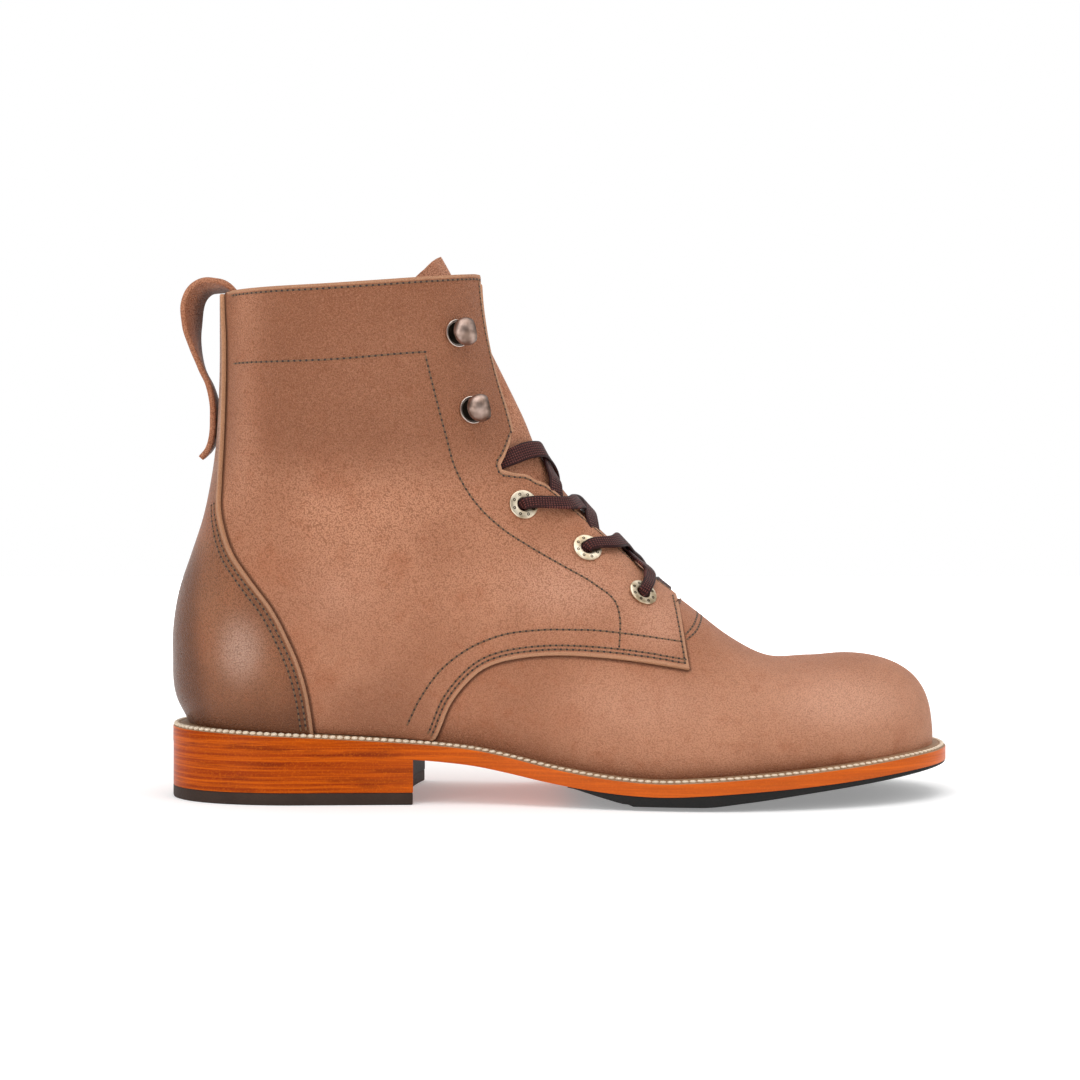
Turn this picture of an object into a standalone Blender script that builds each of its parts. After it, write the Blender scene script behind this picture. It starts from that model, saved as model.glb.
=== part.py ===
"""Right lace-up leather boot, standing empty on its sole.

Tables are in millimetres and the scene is in metres. +X points to the toe, +Y to the
inner (medial) side, +Z up. The floor is Z = 0 and the middle of the sole is X = 0.
"""

import math
from collections import namedtuple

import bmesh
import bpy
import numpy as np
from mathutils import Matrix, Vector

MM = 0.001

# Driving sizes in millimetres
SOLE_BACK = -150.0
UPPER_TIP = 145.0
TOE_PLAN_START = 55.0
TOE_PLAN_POWER = 2.35
TOE_TOP_START = 98.0
TOE_TOP_POWER = 3.1
VAMP_POWER = 2.15
VAMP_BULGE = 0.035
HEEL_REACH = 43.0
SHAFT_REAR_REACH = 50.0
BACK_POWER = 2.2
FRONT_POWER = 2.0
UPPER_WALL = 2.2
GAP = 0.3
COUNTER_GAP = 0.6
COUNTER_THICK = 1.4
COUNTER_RAISE = 1.8
TONGUE_THICK = 2.0
INSOLE_THICK = 3.0
INSOLE_CLEAR = 2.0
INSOLE_LIFT = 0.5
WELT_THICK = 2.6
WELT_STRIP = 15.0
RUBBER_THICK = 3.3
RUBBER_BACK = 2.0
RUBBER_FEATHER = 20.0
HEEL_BREAST = -55.0
BREAST_HOLLOW = 4.0
TOP_LIFT_THICK = 4.6
EYELET_RADIUS = 5.1
EYELET_HOLE = 2.5
EYELET_BARREL = 3.3
EYELET_FLANGE = 0.8
HOOK_BASE_RADIUS = 5.2
HOOK_BASE_THICK = 0.9
HOOK_NECK_RADIUS = 1.9
HOOK_CAP_RADIUS = 4.1
HOOK_CAP_RISE = 4.0
LACE_WIDTH = 6.0
LACE_THICK = 1.3
LACE_CLEAR = 0.5
LOOP_WIDTH = 15.0
LOOP_THICK = 2.0

LATERAL = -1
MEDIAL = 1
SIDES = (LATERAL, MEDIAL)
SIDE_NAMES = {LATERAL: "lateral", MEDIAL: "medial"}

# Foot sections across X: welt top, instep ridge, half widths at the feather edge, line of the last
Foot = namedtuple("Foot", "x welt ridge lateral medial centre")
FOOT = (
    Foot(-150, 28.4, 330.0, 31.0, 31.0, 0.0),
    Foot(-100, 26.4, 300.0, 31.5, 31.0, 0.0),
    Foot(-62, 24.3, 262.0, 31.5, 29.4, 0.0),
    Foot(-45, 23.0, 228.0, 32.0, 26.6, 0.0),
    Foot(-31, 21.3, 198.0, 33.0, 24.6, 0.0),
    Foot(-20, 19.1, 157.0, 34.4, 24.8, 0.0),
    Foot(-7, 16.2, 132.0, 36.8, 27.0, 0.0),
    Foot(8, 13.5, 111.2, 40.4, 31.6, 0.0),
    Foot(22, 11.8, 96.6, 43.8, 36.6, 0.0),
    Foot(36, 11.1, 83.6, 46.6, 41.2, 0.2),
    Foot(52, 11.8, 71.0, 48.4, 44.6, 0.6),
    Foot(66, 12.8, 60.4, 48.8, 45.8, 1.2),
    Foot(80, 13.8, 53.4, 48.6, 46.0, 2.1),
    Foot(97, 15.2, 53.2, 48.2, 45.6, 3.4),
    Foot(112, 16.6, 54.4, 47.6, 45.0, 4.8),
    Foot(130, 18.4, 54.6, 46.8, 44.4, 6.4),
    Foot(150, 20.0, 54.6, 46.0, 44.0, 8.0),
)

# Heel and shaft sections across Z: back line, front line, half widths
Shaft = namedtuple("Shaft", "z back front lateral medial")
SHAFT = (
    Shaft(16, -139.0, 150.0, 30.0, 29.4),
    Shaft(24, -140.0, 144.5, 31.0, 30.4),
    Shaft(30, -142.6, 142.0, 32.2, 31.6),
    Shaft(38, -146.6, 136.0, 33.4, 32.8),
    Shaft(50, -148.1, 122.0, 34.0, 33.4),
    Shaft(64, -148.0, 63.0, 33.8, 33.2),
    Shaft(78, -145.8, 42.8, 33.6, 33.0),
    Shaft(92, -141.2, 26.4, 33.8, 33.2),
    Shaft(106, -136.6, 12.4, 34.4, 33.8),
    Shaft(120, -133.6, -0.4, 35.0, 34.4),
    Shaft(132, -131.8, -8.2, 35.6, 35.0),
    Shaft(145, -130.8, -14.6, 36.2, 35.6),
    Shaft(158, -130.2, -20.4, 36.8, 36.2),
    Shaft(170, -130.0, -24.2, 37.4, 36.8),
    Shaft(185, -130.0, -27.0, 38.0, 37.4),
    Shaft(205, -130.0, -29.0, 38.6, 38.0),
)

# Top line of the collar
Collar = namedtuple("Collar", "x z")
COLLAR = (
    Collar(-131, 192.4),
    Collar(-112, 192.0),
    Collar(-94, 192.2),
    Collar(-76, 193.2),
    Collar(-59, 194.8),
    Collar(-42, 197.2),
    Collar(-27, 200.2),
)

# Throat edge from the collar down: half width of the opening at each height
Throat = namedtuple("Throat", "z half_gap")
THROAT = (
    Throat(199.6, 12.0),
    Throat(188.0, 11.8),
    Throat(177.0, 11.6),
    Throat(166.0, 11.6),
    Throat(157.0, 12.2),
    Throat(148.0, 13.4),
    Throat(139.5, 14.8),
    Throat(133.0, 18.6),
    Throat(127.2, 23.4),
    Throat(124.8, 23.6),
    Throat(123.2, 20.4),
    Throat(121.8, 16.8),
    Throat(117.8, 13.6),
    Throat(111.0, 12.0),
    Throat(102.5, 10.6),
    Throat(94.5, 9.8),
    Throat(87.0, 9.4),
    Throat(80.5, 9.0),
    Throat(75.2, 7.4),
)
THROAT_END_X = 52.5

# Front edge of the counter and backstay, from the collar down to the feather edge
Edge = namedtuple("Edge", "z x")
COUNTER_EDGE = (
    Edge(200, -124.5),
    Edge(190, -124.4),
    Edge(172, -123.2),
    Edge(150, -124.0),
    Edge(126, -125.4),
    Edge(113, -126.6),
    Edge(102, -125.2),
    Edge(93, -122.0),
    Edge(83, -115.2),
    Edge(73, -107.6),
    Edge(61, -101.2),
    Edge(50, -96.6),
    Edge(41, -94.2),
    Edge(27, -92.2),
    Edge(16, -91.0),
)

# Thickness of the leather outsole
Sole = namedtuple("Sole", "x thick")
OUTSOLE = (
    Sole(-150, 4.2),
    Sole(-30, 4.2),
    Sole(10, 3.4),
    Sole(40, 3.1),
    Sole(150, 3.4),
)

# How far the welt and sole stand out past the upper's feather edge
Margin = namedtuple("Margin", "x out")
WELT_MARGIN = (
    Margin(-140, 8.0),
    Margin(-128, 6.2),
    Margin(-95, 4.8),
    Margin(-40, 4.2),
    Margin(10, 4.6),
    Margin(80, 5.0),
    Margin(150, 5.0),
)

# Underside of the rubber half sole on its middle line
Tread = namedtuple("Tread", "x z")
TREAD = (
    Tread(-5, 6.2),
    Tread(10, 1.6),
    Tread(24, 0.0),
    Tread(37, 0.0),
    Tread(50, 0.0),
    Tread(66, 1.6),
    Tread(90, 4.6),
    Tread(120, 8.0),
    Tread(150, 11.6),
)
TREAD_FLAT_BACK = 24.0
TREAD_FLAT_FRONT = 50.0
TREAD_CROWN = 1.5

# Middle line of the tongue, from under the vamp to its tip, and its half width
Tongue = namedtuple("Tongue", "x z half_width")
TONGUE = (
    Tongue(58.2, 62.6, 17.0),
    Tongue(52.2, 67.2, 18.0),
    Tongue(43.8, 75.4, 19.0),
    Tongue(29.6, 89.4, 20.0),
    Tongue(15.4, 102.0, 21.0),
    Tongue(1.8, 116.4, 22.0),
    Tongue(-8.4, 131.2, 23.0),
    Tongue(-14.4, 145.2, 24.0),
    Tongue(-21.4, 159.6, 24.0),
    Tongue(-28.6, 174.0, 22.5),
    Tongue(-36.6, 190.0, 21.0),
    Tongue(-43.4, 202.6, 17.0),
    Tongue(-46.4, 208.0, 6.0),
)
TONGUE_CLEAR = 1.0
TONGUE_CURVE = 30.0

# Middle line of the pull loop strap, from inside the collar round to the loose tail
Strap = namedtuple("Strap", "x z")
PULL_LOOP = (
    Strap(-123.8, 178.0),
    Strap(-124.0, 189.0),
    Strap(-126.6, 196.0),
    Strap(-132.6, 198.8),
    Strap(-138.6, 198.6),
    Strap(-143.6, 195.0),
    Strap(-146.2, 189.0),
    Strap(-145.6, 181.0),
    Strap(-143.2, 172.4),
    Strap(-139.6, 164.2),
    Strap(-136.0, 158.0),
    Strap(-134.0, 151.0),
    Strap(-134.3, 144.0),
    Strap(-134.9, 138.0),
    Strap(-136.0, 133.2),
    Strap(-138.4, 129.6),
)

# Lacing holes and hooks on the side of the boot
Fitting = namedtuple("Fitting", "x z")
EYELETS = (Fitting(-14.4, 111.2), Fitting(9.6, 94.8), Fitting(30.2, 77.8))
HOOKS = (Fitting(-39.4, 175.4), Fitting(-33.8, 146.6))

# Lace lengths over the tongue: ridge height and half width at each end
Crossing = namedtuple("Crossing", "high_z high_y low_z low_y")
LACE_CROSSINGS = (
    Crossing(137.0, 11.5, 119.0, 11.5),
    Crossing(112.5, 12.0, 106.5, 9.0),
    Crossing(96.5, 11.5, 90.0, 9.0),
)
LACE_BAR_Z = 80.6
LACE_BAR_Y = 6.8


def smooth(rows, key, value):
    """Smooth curve through one column of a table, as a function of another column."""
    points = sorted((getattr(row, key), getattr(row, value)) for row in rows)
    keys = np.array([point[0] for point in points], float)
    values = np.array([point[1] for point in points], float)
    steps = np.diff(keys)
    slopes = np.diff(values) / steps
    tangents = np.empty_like(values)
    tangents[0] = slopes[0]
    tangents[-1] = slopes[-1]
    tangents[1:-1] = (slopes[:-1] * steps[1:] + slopes[1:] * steps[:-1]) / (steps[:-1] + steps[1:])
    turns = slopes[:-1] * slopes[1:] <= 0
    tangents[1:-1][turns] = 0.0

    def curve(at):
        at = np.clip(np.asarray(at, float), keys[0], keys[-1])
        index = np.clip(np.searchsorted(keys, at, side="right") - 1, 0, len(steps) - 1)
        t = (at - keys[index]) / steps[index]
        rise = t * t * (3 - 2 * t)
        start = (t - 2 * t**2 + t**3) * steps[index] * tangents[index]
        end = (t**3 - t**2) * steps[index] * tangents[index + 1]
        return values[index] + (values[index + 1] - values[index]) * rise + start + end

    return curve


def rounded(t, power):
    """Quarter of a superellipse: 1 at t = 0, falling to 0 at t = 1."""
    t = np.clip(t, 0.0, 1.0)
    return (1 - t**power) ** (1 / power)


welt_top = smooth(FOOT, "x", "welt")
ridge_raw = smooth(FOOT, "x", "ridge")
last_line = smooth(FOOT, "x", "centre")
foot_half = {side: smooth(FOOT, "x", name) for side, name in SIDE_NAMES.items()}
shaft_back = smooth(SHAFT, "z", "back")
shaft_front = smooth(SHAFT, "z", "front")
shaft_half = {side: smooth(SHAFT, "z", name) for side, name in SIDE_NAMES.items()}
collar_z = smooth(COLLAR, "x", "z")
throat_gap = smooth(THROAT, "z", "half_gap")
counter_x = smooth(COUNTER_EDGE, "z", "x")
outsole_thick = smooth(OUTSOLE, "x", "thick")
welt_margin = smooth(WELT_MARGIN, "x", "out")
tread_z = smooth(TREAD, "x", "z")


def feather_z(x):
    """Height of the upper's bottom edge."""
    return welt_top(x) + GAP


def ridge_z(x):
    """Height of the instep and toe ridge, rounded down at the toe."""
    low = feather_z(x)
    toe = rounded((x - TOE_TOP_START) / (UPPER_TIP - TOE_TOP_START), TOE_TOP_POWER)
    return low + (ridge_raw(x) - low) * toe


def half_width(x, z, side):
    """Half width of the upper at a point of its side view: foot and shaft sections, blended."""
    x = np.asarray(x, float)
    z = np.asarray(z, float)
    low = feather_z(x)
    up = np.clip((z - low) / np.maximum(ridge_z(x) - low, 1e-6), 0.0, 1.0)
    bulge = 1 + VAMP_BULGE * np.sin(math.pi * np.clip(up / 0.6, 0, 1))
    toe = rounded((x - TOE_PLAN_START) / (UPPER_TIP - TOE_PLAN_START), TOE_PLAN_POWER)
    foot = foot_half[side](x) * toe * rounded(up, VAMP_POWER) * bulge
    back = shaft_back(z)
    reach = HEEL_REACH + (SHAFT_REAR_REACH - HEEL_REACH) * np.clip((z - 60) / 80, 0, 1)
    widest = back + reach
    rear = rounded((widest - x) / reach, BACK_POWER)
    front = rounded((x - widest) / (shaft_front(z) - widest), FRONT_POWER)
    shaft = shaft_half[side](z) * rear * front
    share = np.clip((5 - (x - 0.3 * (z - 20))) / 60, 0, 1)
    share = share * share * (3 - 2 * share)
    return foot * (1 - share) + shaft * share


def footprint(x, side):
    """Half width of the upper at its feather edge."""
    return half_width(x, feather_z(x), side)


def upper_point(x, z, side):
    """Point of the upper's outside, from its side view."""
    y = last_line(x) + side * half_width(x, z, side)
    return np.stack(np.broadcast_arrays(x, y, z), axis=-1)


def upper_normal(x, z, side):
    """Outward normal of the upper away from its ridge and back line."""
    step = 0.4
    along = upper_point(x + step, z, side) - upper_point(x - step, z, side)
    upward = upper_point(x, z + step, side) - upper_point(x, z - step, side)
    normal = np.cross(along, upward) * -side
    return normal / np.linalg.norm(normal, axis=-1, keepdims=True)


def throat_x(z, half_gap, side):
    """Where the throat edge stands at a height: the front of the side with this half gap."""
    near = np.full_like(np.asarray(z, float), -70.0)
    far = shaft_front(z)
    for _ in range(40):
        middle = (near + far) / 2
        wide = half_width(middle, z, side) > half_gap
        near = np.where(wide, middle, near)
        far = np.where(wide, far, middle)
    return near


def upper_grid(side, shaft_columns=12, vamp_columns=11, rows=14):
    """Grid of the upper's outside: columns run from the feather edge up to the top edge."""
    fine = np.linspace(0, 1, shaft_columns, endpoint=False)
    collar_front = throat_x(THROAT[0].z, THROAT[0].half_gap, side)
    back_low = shaft_back(feather_z(-140.0))
    spread = (1 - np.cos(fine * math.pi * 0.92)) / (1 - math.cos(math.pi * 0.92))
    shaft_bottom = back_low + (-75.0 - back_low) * spread
    shaft_top = SHAFT[-1].back + (collar_front - SHAFT[-1].back) * spread
    throat_z = np.array([row.z for row in THROAT])
    throat_top = throat_x(throat_z, throat_gap(throat_z), side)
    throat_bottom = np.linspace(-75.0, 34.0, len(THROAT))
    toward_tip = 1 - (1 - np.linspace(0, 1, vamp_columns + 1)[:-1]) ** 3
    vamp_bottom = 38.0 + (UPPER_TIP - 38.0) * toward_tip
    vamp_top = THROAT_END_X + (UPPER_TIP - THROAT_END_X) * toward_tip
    bottom = np.concatenate([shaft_bottom, throat_bottom, vamp_bottom])
    top_x = np.concatenate([shaft_top, throat_top, vamp_top])
    top_z = np.concatenate([collar_z(shaft_top), throat_z, ridge_z(vamp_top)])
    bend = np.concatenate([(1 - fine) ** 2, np.zeros(len(THROAT) + vamp_columns)])
    steepening = np.linspace(0, 1, len(THROAT)) ** 2
    arch = np.concatenate([np.zeros(shaft_columns), steepening, np.ones(vamp_columns)])
    v = np.linspace(0, 1, rows)[:, None]
    climb = v + arch * (np.sin(v * math.pi / 2) - v)
    z = feather_z(bottom) + (top_z - feather_z(bottom)) * climb
    straight_back = back_low + (SHAFT[-1].back - back_low) * climb
    x = bottom + (top_x - bottom) * v + bend * (shaft_back(z) - straight_back)
    z = np.maximum(z, feather_z(x))
    points = upper_point(x, z, side)
    points[:, 0, 1] = 0.0
    vamp = slice(shaft_columns + len(THROAT), None)
    points[-1, vamp, 1] = last_line(x[-1, vamp])
    return points


def new_object(name, bm):
    """Object from a bmesh, with millimetres scaled to metres and faces turned outward."""
    bmesh.ops.scale(bm, vec=Vector((MM, MM, MM)), verts=bm.verts)
    bmesh.ops.recalc_face_normals(bm, faces=bm.faces)
    mesh = bpy.data.meshes.new(name)
    bm.to_mesh(mesh)
    bm.free()
    thing = bpy.data.objects.new(name, mesh)
    bpy.context.scene.collection.objects.link(thing)
    return thing


def add_grid(bm, points, closed=False):
    """Quads over a grid of points, rows by columns, joined round when closed."""
    verts = [[bm.verts.new(point) for point in row] for row in points]
    count = len(verts[0])
    for lower, upper in zip(verts[:-1], verts[1:]):
        for i in range(count if closed else count - 1):
            j = (i + 1) % count
            bm.faces.new((lower[i], lower[j], upper[j], upper[i]))
    return verts


def weld(bm, distance=0.02):
    """Join points that lie together and drop the faces that fall away."""
    bmesh.ops.remove_doubles(bm, verts=bm.verts, dist=distance)
    bmesh.ops.dissolve_degenerate(bm, edges=bm.edges, dist=distance / 2)


def sheet_normals(bm):
    """Vertex normals of a sheet, pointing away from the middle of the boot."""
    bmesh.ops.recalc_face_normals(bm, faces=bm.faces)
    bm.normal_update()
    outward = sum(face.normal.y * math.copysign(1, face.calc_center_median().y) for face in bm.faces)
    if outward < 0:
        bmesh.ops.reverse_faces(bm, faces=bm.faces)
        bm.normal_update()


def thicken(bm, lift, thickness):
    """Turn a sheet into a closed shell from lift to lift plus thickness along its normals."""
    sheet_normals(bm)
    inner = {vert: vert.co + vert.normal * lift for vert in bm.verts}
    outer = {vert: vert.co + vert.normal * (lift + thickness) for vert in bm.verts}
    edges = [edge for edge in bm.edges if edge.is_boundary]
    faces = list(bm.faces)
    copy = {vert: bm.verts.new(outer[vert]) for vert in inner}
    for vert, place in inner.items():
        vert.co = place
    for face in faces:
        bm.faces.new([copy[vert] for vert in face.verts])
    for edge in edges:
        a, b = edge.verts
        bm.faces.new((a, b, copy[b], copy[a]))
    bmesh.ops.recalc_face_normals(bm, faces=bm.faces)


def build_upper():
    """Upper shell, open at the collar, the throat and underneath."""
    bm = bmesh.new()
    tip = (UPPER_TIP, float(last_line(UPPER_TIP)), float(feather_z(UPPER_TIP)))
    for side in SIDES:
        points = upper_grid(side)
        verts = add_grid(bm, points)
        point = bm.verts.new(tip)
        for row in range(len(verts) - 1):
            bm.faces.new((verts[row][-1], point, verts[row + 1][-1]))
    weld(bm)
    thicken(bm, -UPPER_WALL, UPPER_WALL)
    upper = new_object("upper", bm)
    cutter = eyelet_hole_cutter()
    cut = upper.modifiers.new("eyelet_holes", "BOOLEAN")
    cut.operation = "DIFFERENCE"
    cut.solver = "EXACT"
    cut.object = cutter
    return upper


def frame_at(fitting, side):
    """Matrix that stands a fitting on the upper, Z outward and X toward the throat."""
    place = Vector(upper_point(fitting.x, fitting.z, side))
    normal = Vector(upper_normal(fitting.x, fitting.z, side))
    forward = Vector((0.72, 0.0, 0.69))
    across = (forward - normal * forward.dot(normal)).normalized()
    sideways = normal.cross(across)
    turn = Matrix((across, sideways, normal)).transposed().to_4x4()
    return Matrix.Translation(place) @ turn


def eyelet_hole_cutter():
    """Round holes through the facings, all in one hidden cutter."""
    bm = bmesh.new()
    for side in SIDES:
        for fitting in EYELETS:
            bmesh.ops.create_cone(
                bm,
                cap_ends=True,
                segments=14,
                radius1=EYELET_BARREL + GAP + 0.1,
                radius2=EYELET_BARREL + GAP + 0.1,
                depth=9.0,
                matrix=frame_at(fitting, side),
            )
    cutter = new_object("eyelet_hole_cutter", bm)
    cutter.hide_render = True
    cutter.display_type = "WIRE"
    return cutter


def revolve(name, profile, placing, segments=12):
    """Solid turned about Z from a closed profile of radius and height, then placed."""
    bm = bmesh.new()
    rings = []
    for k in range(segments):
        angle = 2 * math.pi * k / segments
        rings.append([(r * math.cos(angle), r * math.sin(angle), h) for r, h in profile])
    verts = [[bm.verts.new(point) for point in ring] for ring in rings]
    count = len(profile)
    for k in range(segments):
        ring, after = verts[k], verts[(k + 1) % segments]
        for i in range(count):
            j = (i + 1) % count
            bm.faces.new((ring[i], after[i], after[j], ring[j]))
    weld(bm, 0.001)
    bmesh.ops.transform(bm, matrix=placing, verts=bm.verts)
    return new_object(name, bm)


def build_eyelets():
    """Flanged eyelets through the facings."""
    profile = (
        (EYELET_HOLE, EYELET_FLANGE + GAP),
        (EYELET_RADIUS - 0.6, EYELET_FLANGE + GAP),
        (EYELET_RADIUS, GAP + 0.3),
        (EYELET_RADIUS - 0.1, GAP),
        (EYELET_BARREL, GAP),
        (EYELET_BARREL, -UPPER_WALL + 0.2),
        (EYELET_HOLE, -UPPER_WALL + 0.2),
    )
    made = []
    for side in SIDES:
        for number, fitting in enumerate(EYELETS, 1):
            name = f"eyelet_{SIDE_NAMES[side]}_{number}"
            made.append(revolve(name, profile, frame_at(fitting, side)))
    return made


def build_hooks():
    """Ball hooks: a round base, a neck, and a domed cap that leans toward the throat."""
    base_top = GAP + HOOK_BASE_THICK
    cap_low = base_top + 1.5
    profile = [
        (0.0, GAP),
        (HOOK_BASE_RADIUS, GAP),
        (HOOK_BASE_RADIUS, base_top - 0.3),
        (HOOK_BASE_RADIUS - 0.4, base_top),
        (HOOK_NECK_RADIUS, base_top),
        (HOOK_NECK_RADIUS, cap_low),
        (HOOK_CAP_RADIUS, cap_low),
    ]
    for step in range(1, 4):
        angle = math.pi / 2 * step / 3
        radius = HOOK_CAP_RADIUS * math.cos(angle)
        profile.append((max(radius, 0.0), cap_low + HOOK_CAP_RISE * math.sin(angle)))
    made = []
    for side in SIDES:
        for number, fitting in enumerate(HOOKS, 1):
            name = f"hook_{SIDE_NAMES[side]}_{number}"
            made.append(revolve(name, profile, frame_at(fitting, side), 12))
    return made


def build_counter():
    """Counter and backstay: the upper's own back, between two larger forms."""
    bm = bmesh.new()
    v = np.linspace(0, 1, 18)[:, None] ** 1.4
    spread = np.linspace(0, 1, 9) ** 1.7
    high = collar_z(SHAFT[-1].back)
    for side in SIDES:
        low = np.full_like(spread, 30.0)
        for _ in range(3):
            z = low + (high - low) * v
            x = shaft_back(z) + (counter_x(z) - shaft_back(z)) * spread
            low = feather_z(x[0]) + COUNTER_RAISE
        points = upper_point(x, z, side)
        points[:, 0, 1] = 0.0
        add_grid(bm, points)
    weld(bm)
    thicken(bm, COUNTER_GAP, COUNTER_THICK)
    return new_object("heel_counter", bm)


def ridge_depth(start, inward, reach, side):
    """How far in from the middle line the upper's outside has this half width."""
    near = np.zeros_like(reach)
    far = np.full_like(reach, 45.0)
    for _ in range(40):
        middle = (near + far) / 2
        wide = half_width(start[0] + inward[0] * middle, start[1] + inward[1] * middle, side) > reach
        far = np.where(wide, middle, far)
        near = np.where(wide, near, middle)
    return near


def build_tongue():
    """Tongue: bulged between the facings and held under them by the wall and a clearance."""
    bm = bmesh.new()
    Knot = namedtuple("Knot", "t x z half_width")
    knots = [Knot(number, *row) for number, row in enumerate(TONGUE)]
    at = np.linspace(0, len(TONGUE) - 1, 21)
    line = np.stack([smooth(knots, "t", "x")(at), smooth(knots, "t", "z")(at)], axis=-1)
    along = np.gradient(line, axis=0)
    along /= np.linalg.norm(along, axis=-1, keepdims=True)
    under = UPPER_WALL + TONGUE_CLEAR
    points = []
    for here, way, width in zip(line, along, smooth(knots, "t", "half_width")(at)):
        inward = np.array([-way[1], way[0]])
        y = np.linspace(-1, 1, 13) * width
        reach = np.abs(y)
        lean = np.clip(reach / TONGUE_CURVE, 0, 0.9)
        bulged = reach**2 / (2 * TONGUE_CURVE)
        held = np.empty_like(reach)
        for side in SIDES:
            chosen = y * side >= 0
            deep = ridge_depth(here, inward, reach + under * lean, side)
            held[chosen] = (deep + under * np.sqrt(1 - lean**2))[chosen]
        tuck = np.clip((reach - 3.0) / (min(float(throat_gap(here[1])), 12.0) - 4.0), 0, 1)
        tuck = np.where(here[0] > THROAT_END_X - 6.5, 1.0, tuck * tuck * (3 - 2 * tuck))
        depth = bulged + (np.maximum(held, bulged) - bulged) * tuck
        x = here[0] + inward[0] * depth
        points.append(np.stack([x, last_line(x) + y, here[1] + inward[1] * depth], axis=-1))
    add_grid(bm, points)
    thicken(bm, -TONGUE_THICK, TONGUE_THICK)
    return new_object("tongue", bm)


def plan_outline(out, count):
    """Closed plan outline of the feather edge, moved outward by a margin that varies along X."""
    half = count // 2
    turn = np.linspace(0, math.pi, half + 1)
    back = float(shaft_back(feather_z(-143.0)))
    middle = (UPPER_TIP + back) / 2
    span = (UPPER_TIP - back) / 2
    x = middle - span * np.cos(turn)
    lateral = np.stack([x, last_line(x) - footprint(x, LATERAL)], axis=-1)
    medial = np.stack([x, last_line(x) + footprint(x, MEDIAL)], axis=-1)
    lateral[0, 1] = 0.0
    medial[-1, 1] = last_line(UPPER_TIP)
    loop = np.concatenate([lateral[:-1], medial[:0:-1]])
    tangent = np.roll(loop, -1, axis=0) - np.roll(loop, 1, axis=0)
    normal = np.stack([tangent[:, 1], -tangent[:, 0]], axis=-1)
    normal /= np.linalg.norm(normal, axis=-1, keepdims=True)
    return loop + normal * out(loop[:, 0])[:, None]


def sides_at(outline, x):
    """Lateral and medial Y of a plan outline at stations along X."""
    half = len(outline) // 2
    lateral = outline[: half + 1]
    medial = np.concatenate([outline[half:], outline[:1]])[::-1]
    return np.interp(x, lateral[:, 0], lateral[:, 1]), np.interp(x, medial[:, 0], medial[:, 1])


def stations(back, front, count):
    """X stations, close together at both ends."""
    turn = np.linspace(0, math.pi, count)
    return (back + front) / 2 - (front - back) / 2 * np.cos(turn)


def build_plate(name, x, outline, top, bottom, columns=2):
    """Plate between two height functions of x and of the place across, from -1 to 1."""
    bm = bmesh.new()
    lateral, medial = sides_at(outline, x)
    across = np.linspace(0, 1, columns)
    y = lateral[:, None] + (medial - lateral)[:, None] * across
    place = np.broadcast_to(across * 2 - 1, y.shape)
    wide_x = np.broadcast_to(x[:, None], y.shape)
    upper = np.stack([wide_x, y, np.broadcast_to(top(wide_x, place), y.shape)], axis=-1)
    lower = np.stack([wide_x, y, np.broadcast_to(bottom(wide_x, place), y.shape)], axis=-1)
    ring = np.concatenate([upper, lower[:, ::-1]], axis=1)
    verts = add_grid(bm, ring, closed=True)
    bm.faces.new(verts[0])
    bm.faces.new(verts[-1])
    weld(bm, 0.005)
    return new_object(name, bm)


def sole_top(x):
    """Top of the outsole, under the welt."""
    return welt_top(x) - WELT_THICK - GAP


def sole_bottom(x):
    """Underside of the leather outsole."""
    return sole_top(x) - outsole_thick(x)


def build_welt():
    """Welt strip round the feather edge, under the upper's bottom."""
    bm = bmesh.new()
    outer = plan_outline(welt_margin, 84)
    inner = plan_outline(lambda x: welt_margin(x) - WELT_STRIP, 84)
    rings = []
    for loop, drop in ((outer, 0.0), (outer, WELT_THICK), (inner, WELT_THICK), (inner, 0.0)):
        rings.append(np.column_stack([loop, welt_top(loop[:, 0]) - drop]))
    add_grid(bm, [*rings, rings[0]], closed=True)
    weld(bm, 0.005)
    return new_object("welt", bm)


def build_sole():
    """Outsole, insole and rubber half sole."""
    outline = plan_outline(welt_margin, 160)
    inside = plan_outline(lambda x: np.full_like(x, -UPPER_WALL - INSOLE_CLEAR), 160)
    back, tip = outline[:, 0].min(), outline[:, 0].max()
    outsole = build_plate(
        "outsole",
        stations(back, tip, 34),
        outline,
        lambda x, place: sole_top(x),
        lambda x, place: sole_bottom(x),
    )
    insole = build_plate(
        "insole",
        stations(inside[:, 0].min(), inside[:, 0].max(), 28),
        inside,
        lambda x, place: welt_top(x) + INSOLE_LIFT + INSOLE_THICK,
        lambda x, place: welt_top(x) + INSOLE_LIFT,
    )
    flat = np.array([RUBBER_BACK, 8.0, 15.0, TREAD_FLAT_BACK, 37.0, TREAD_FLAT_FRONT])
    rubber_x = np.concatenate([flat, tip - (tip - 50.0) * (1 - np.linspace(0, 1, 13)[1:]) ** 2])

    def tread(x, place):
        crown = TREAD_CROWN * np.clip((np.abs(place) - 0.6) / 0.4, 0, 1)
        thickness = RUBBER_THICK * np.clip((x - RUBBER_BACK) / RUBBER_FEATHER, 0.12, 1)
        full = sole_bottom(x) - GAP - thickness
        return np.where(x < TREAD_FLAT_BACK - 0.1, np.maximum(full, tread_z(x)), tread_z(x) + crown)

    rubber = build_plate(
        "forefoot_rubber",
        rubber_x,
        outline,
        lambda x, place: sole_bottom(x) - GAP,
        tread,
        columns=6,
    )
    return [outsole, insole, rubber]


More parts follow.
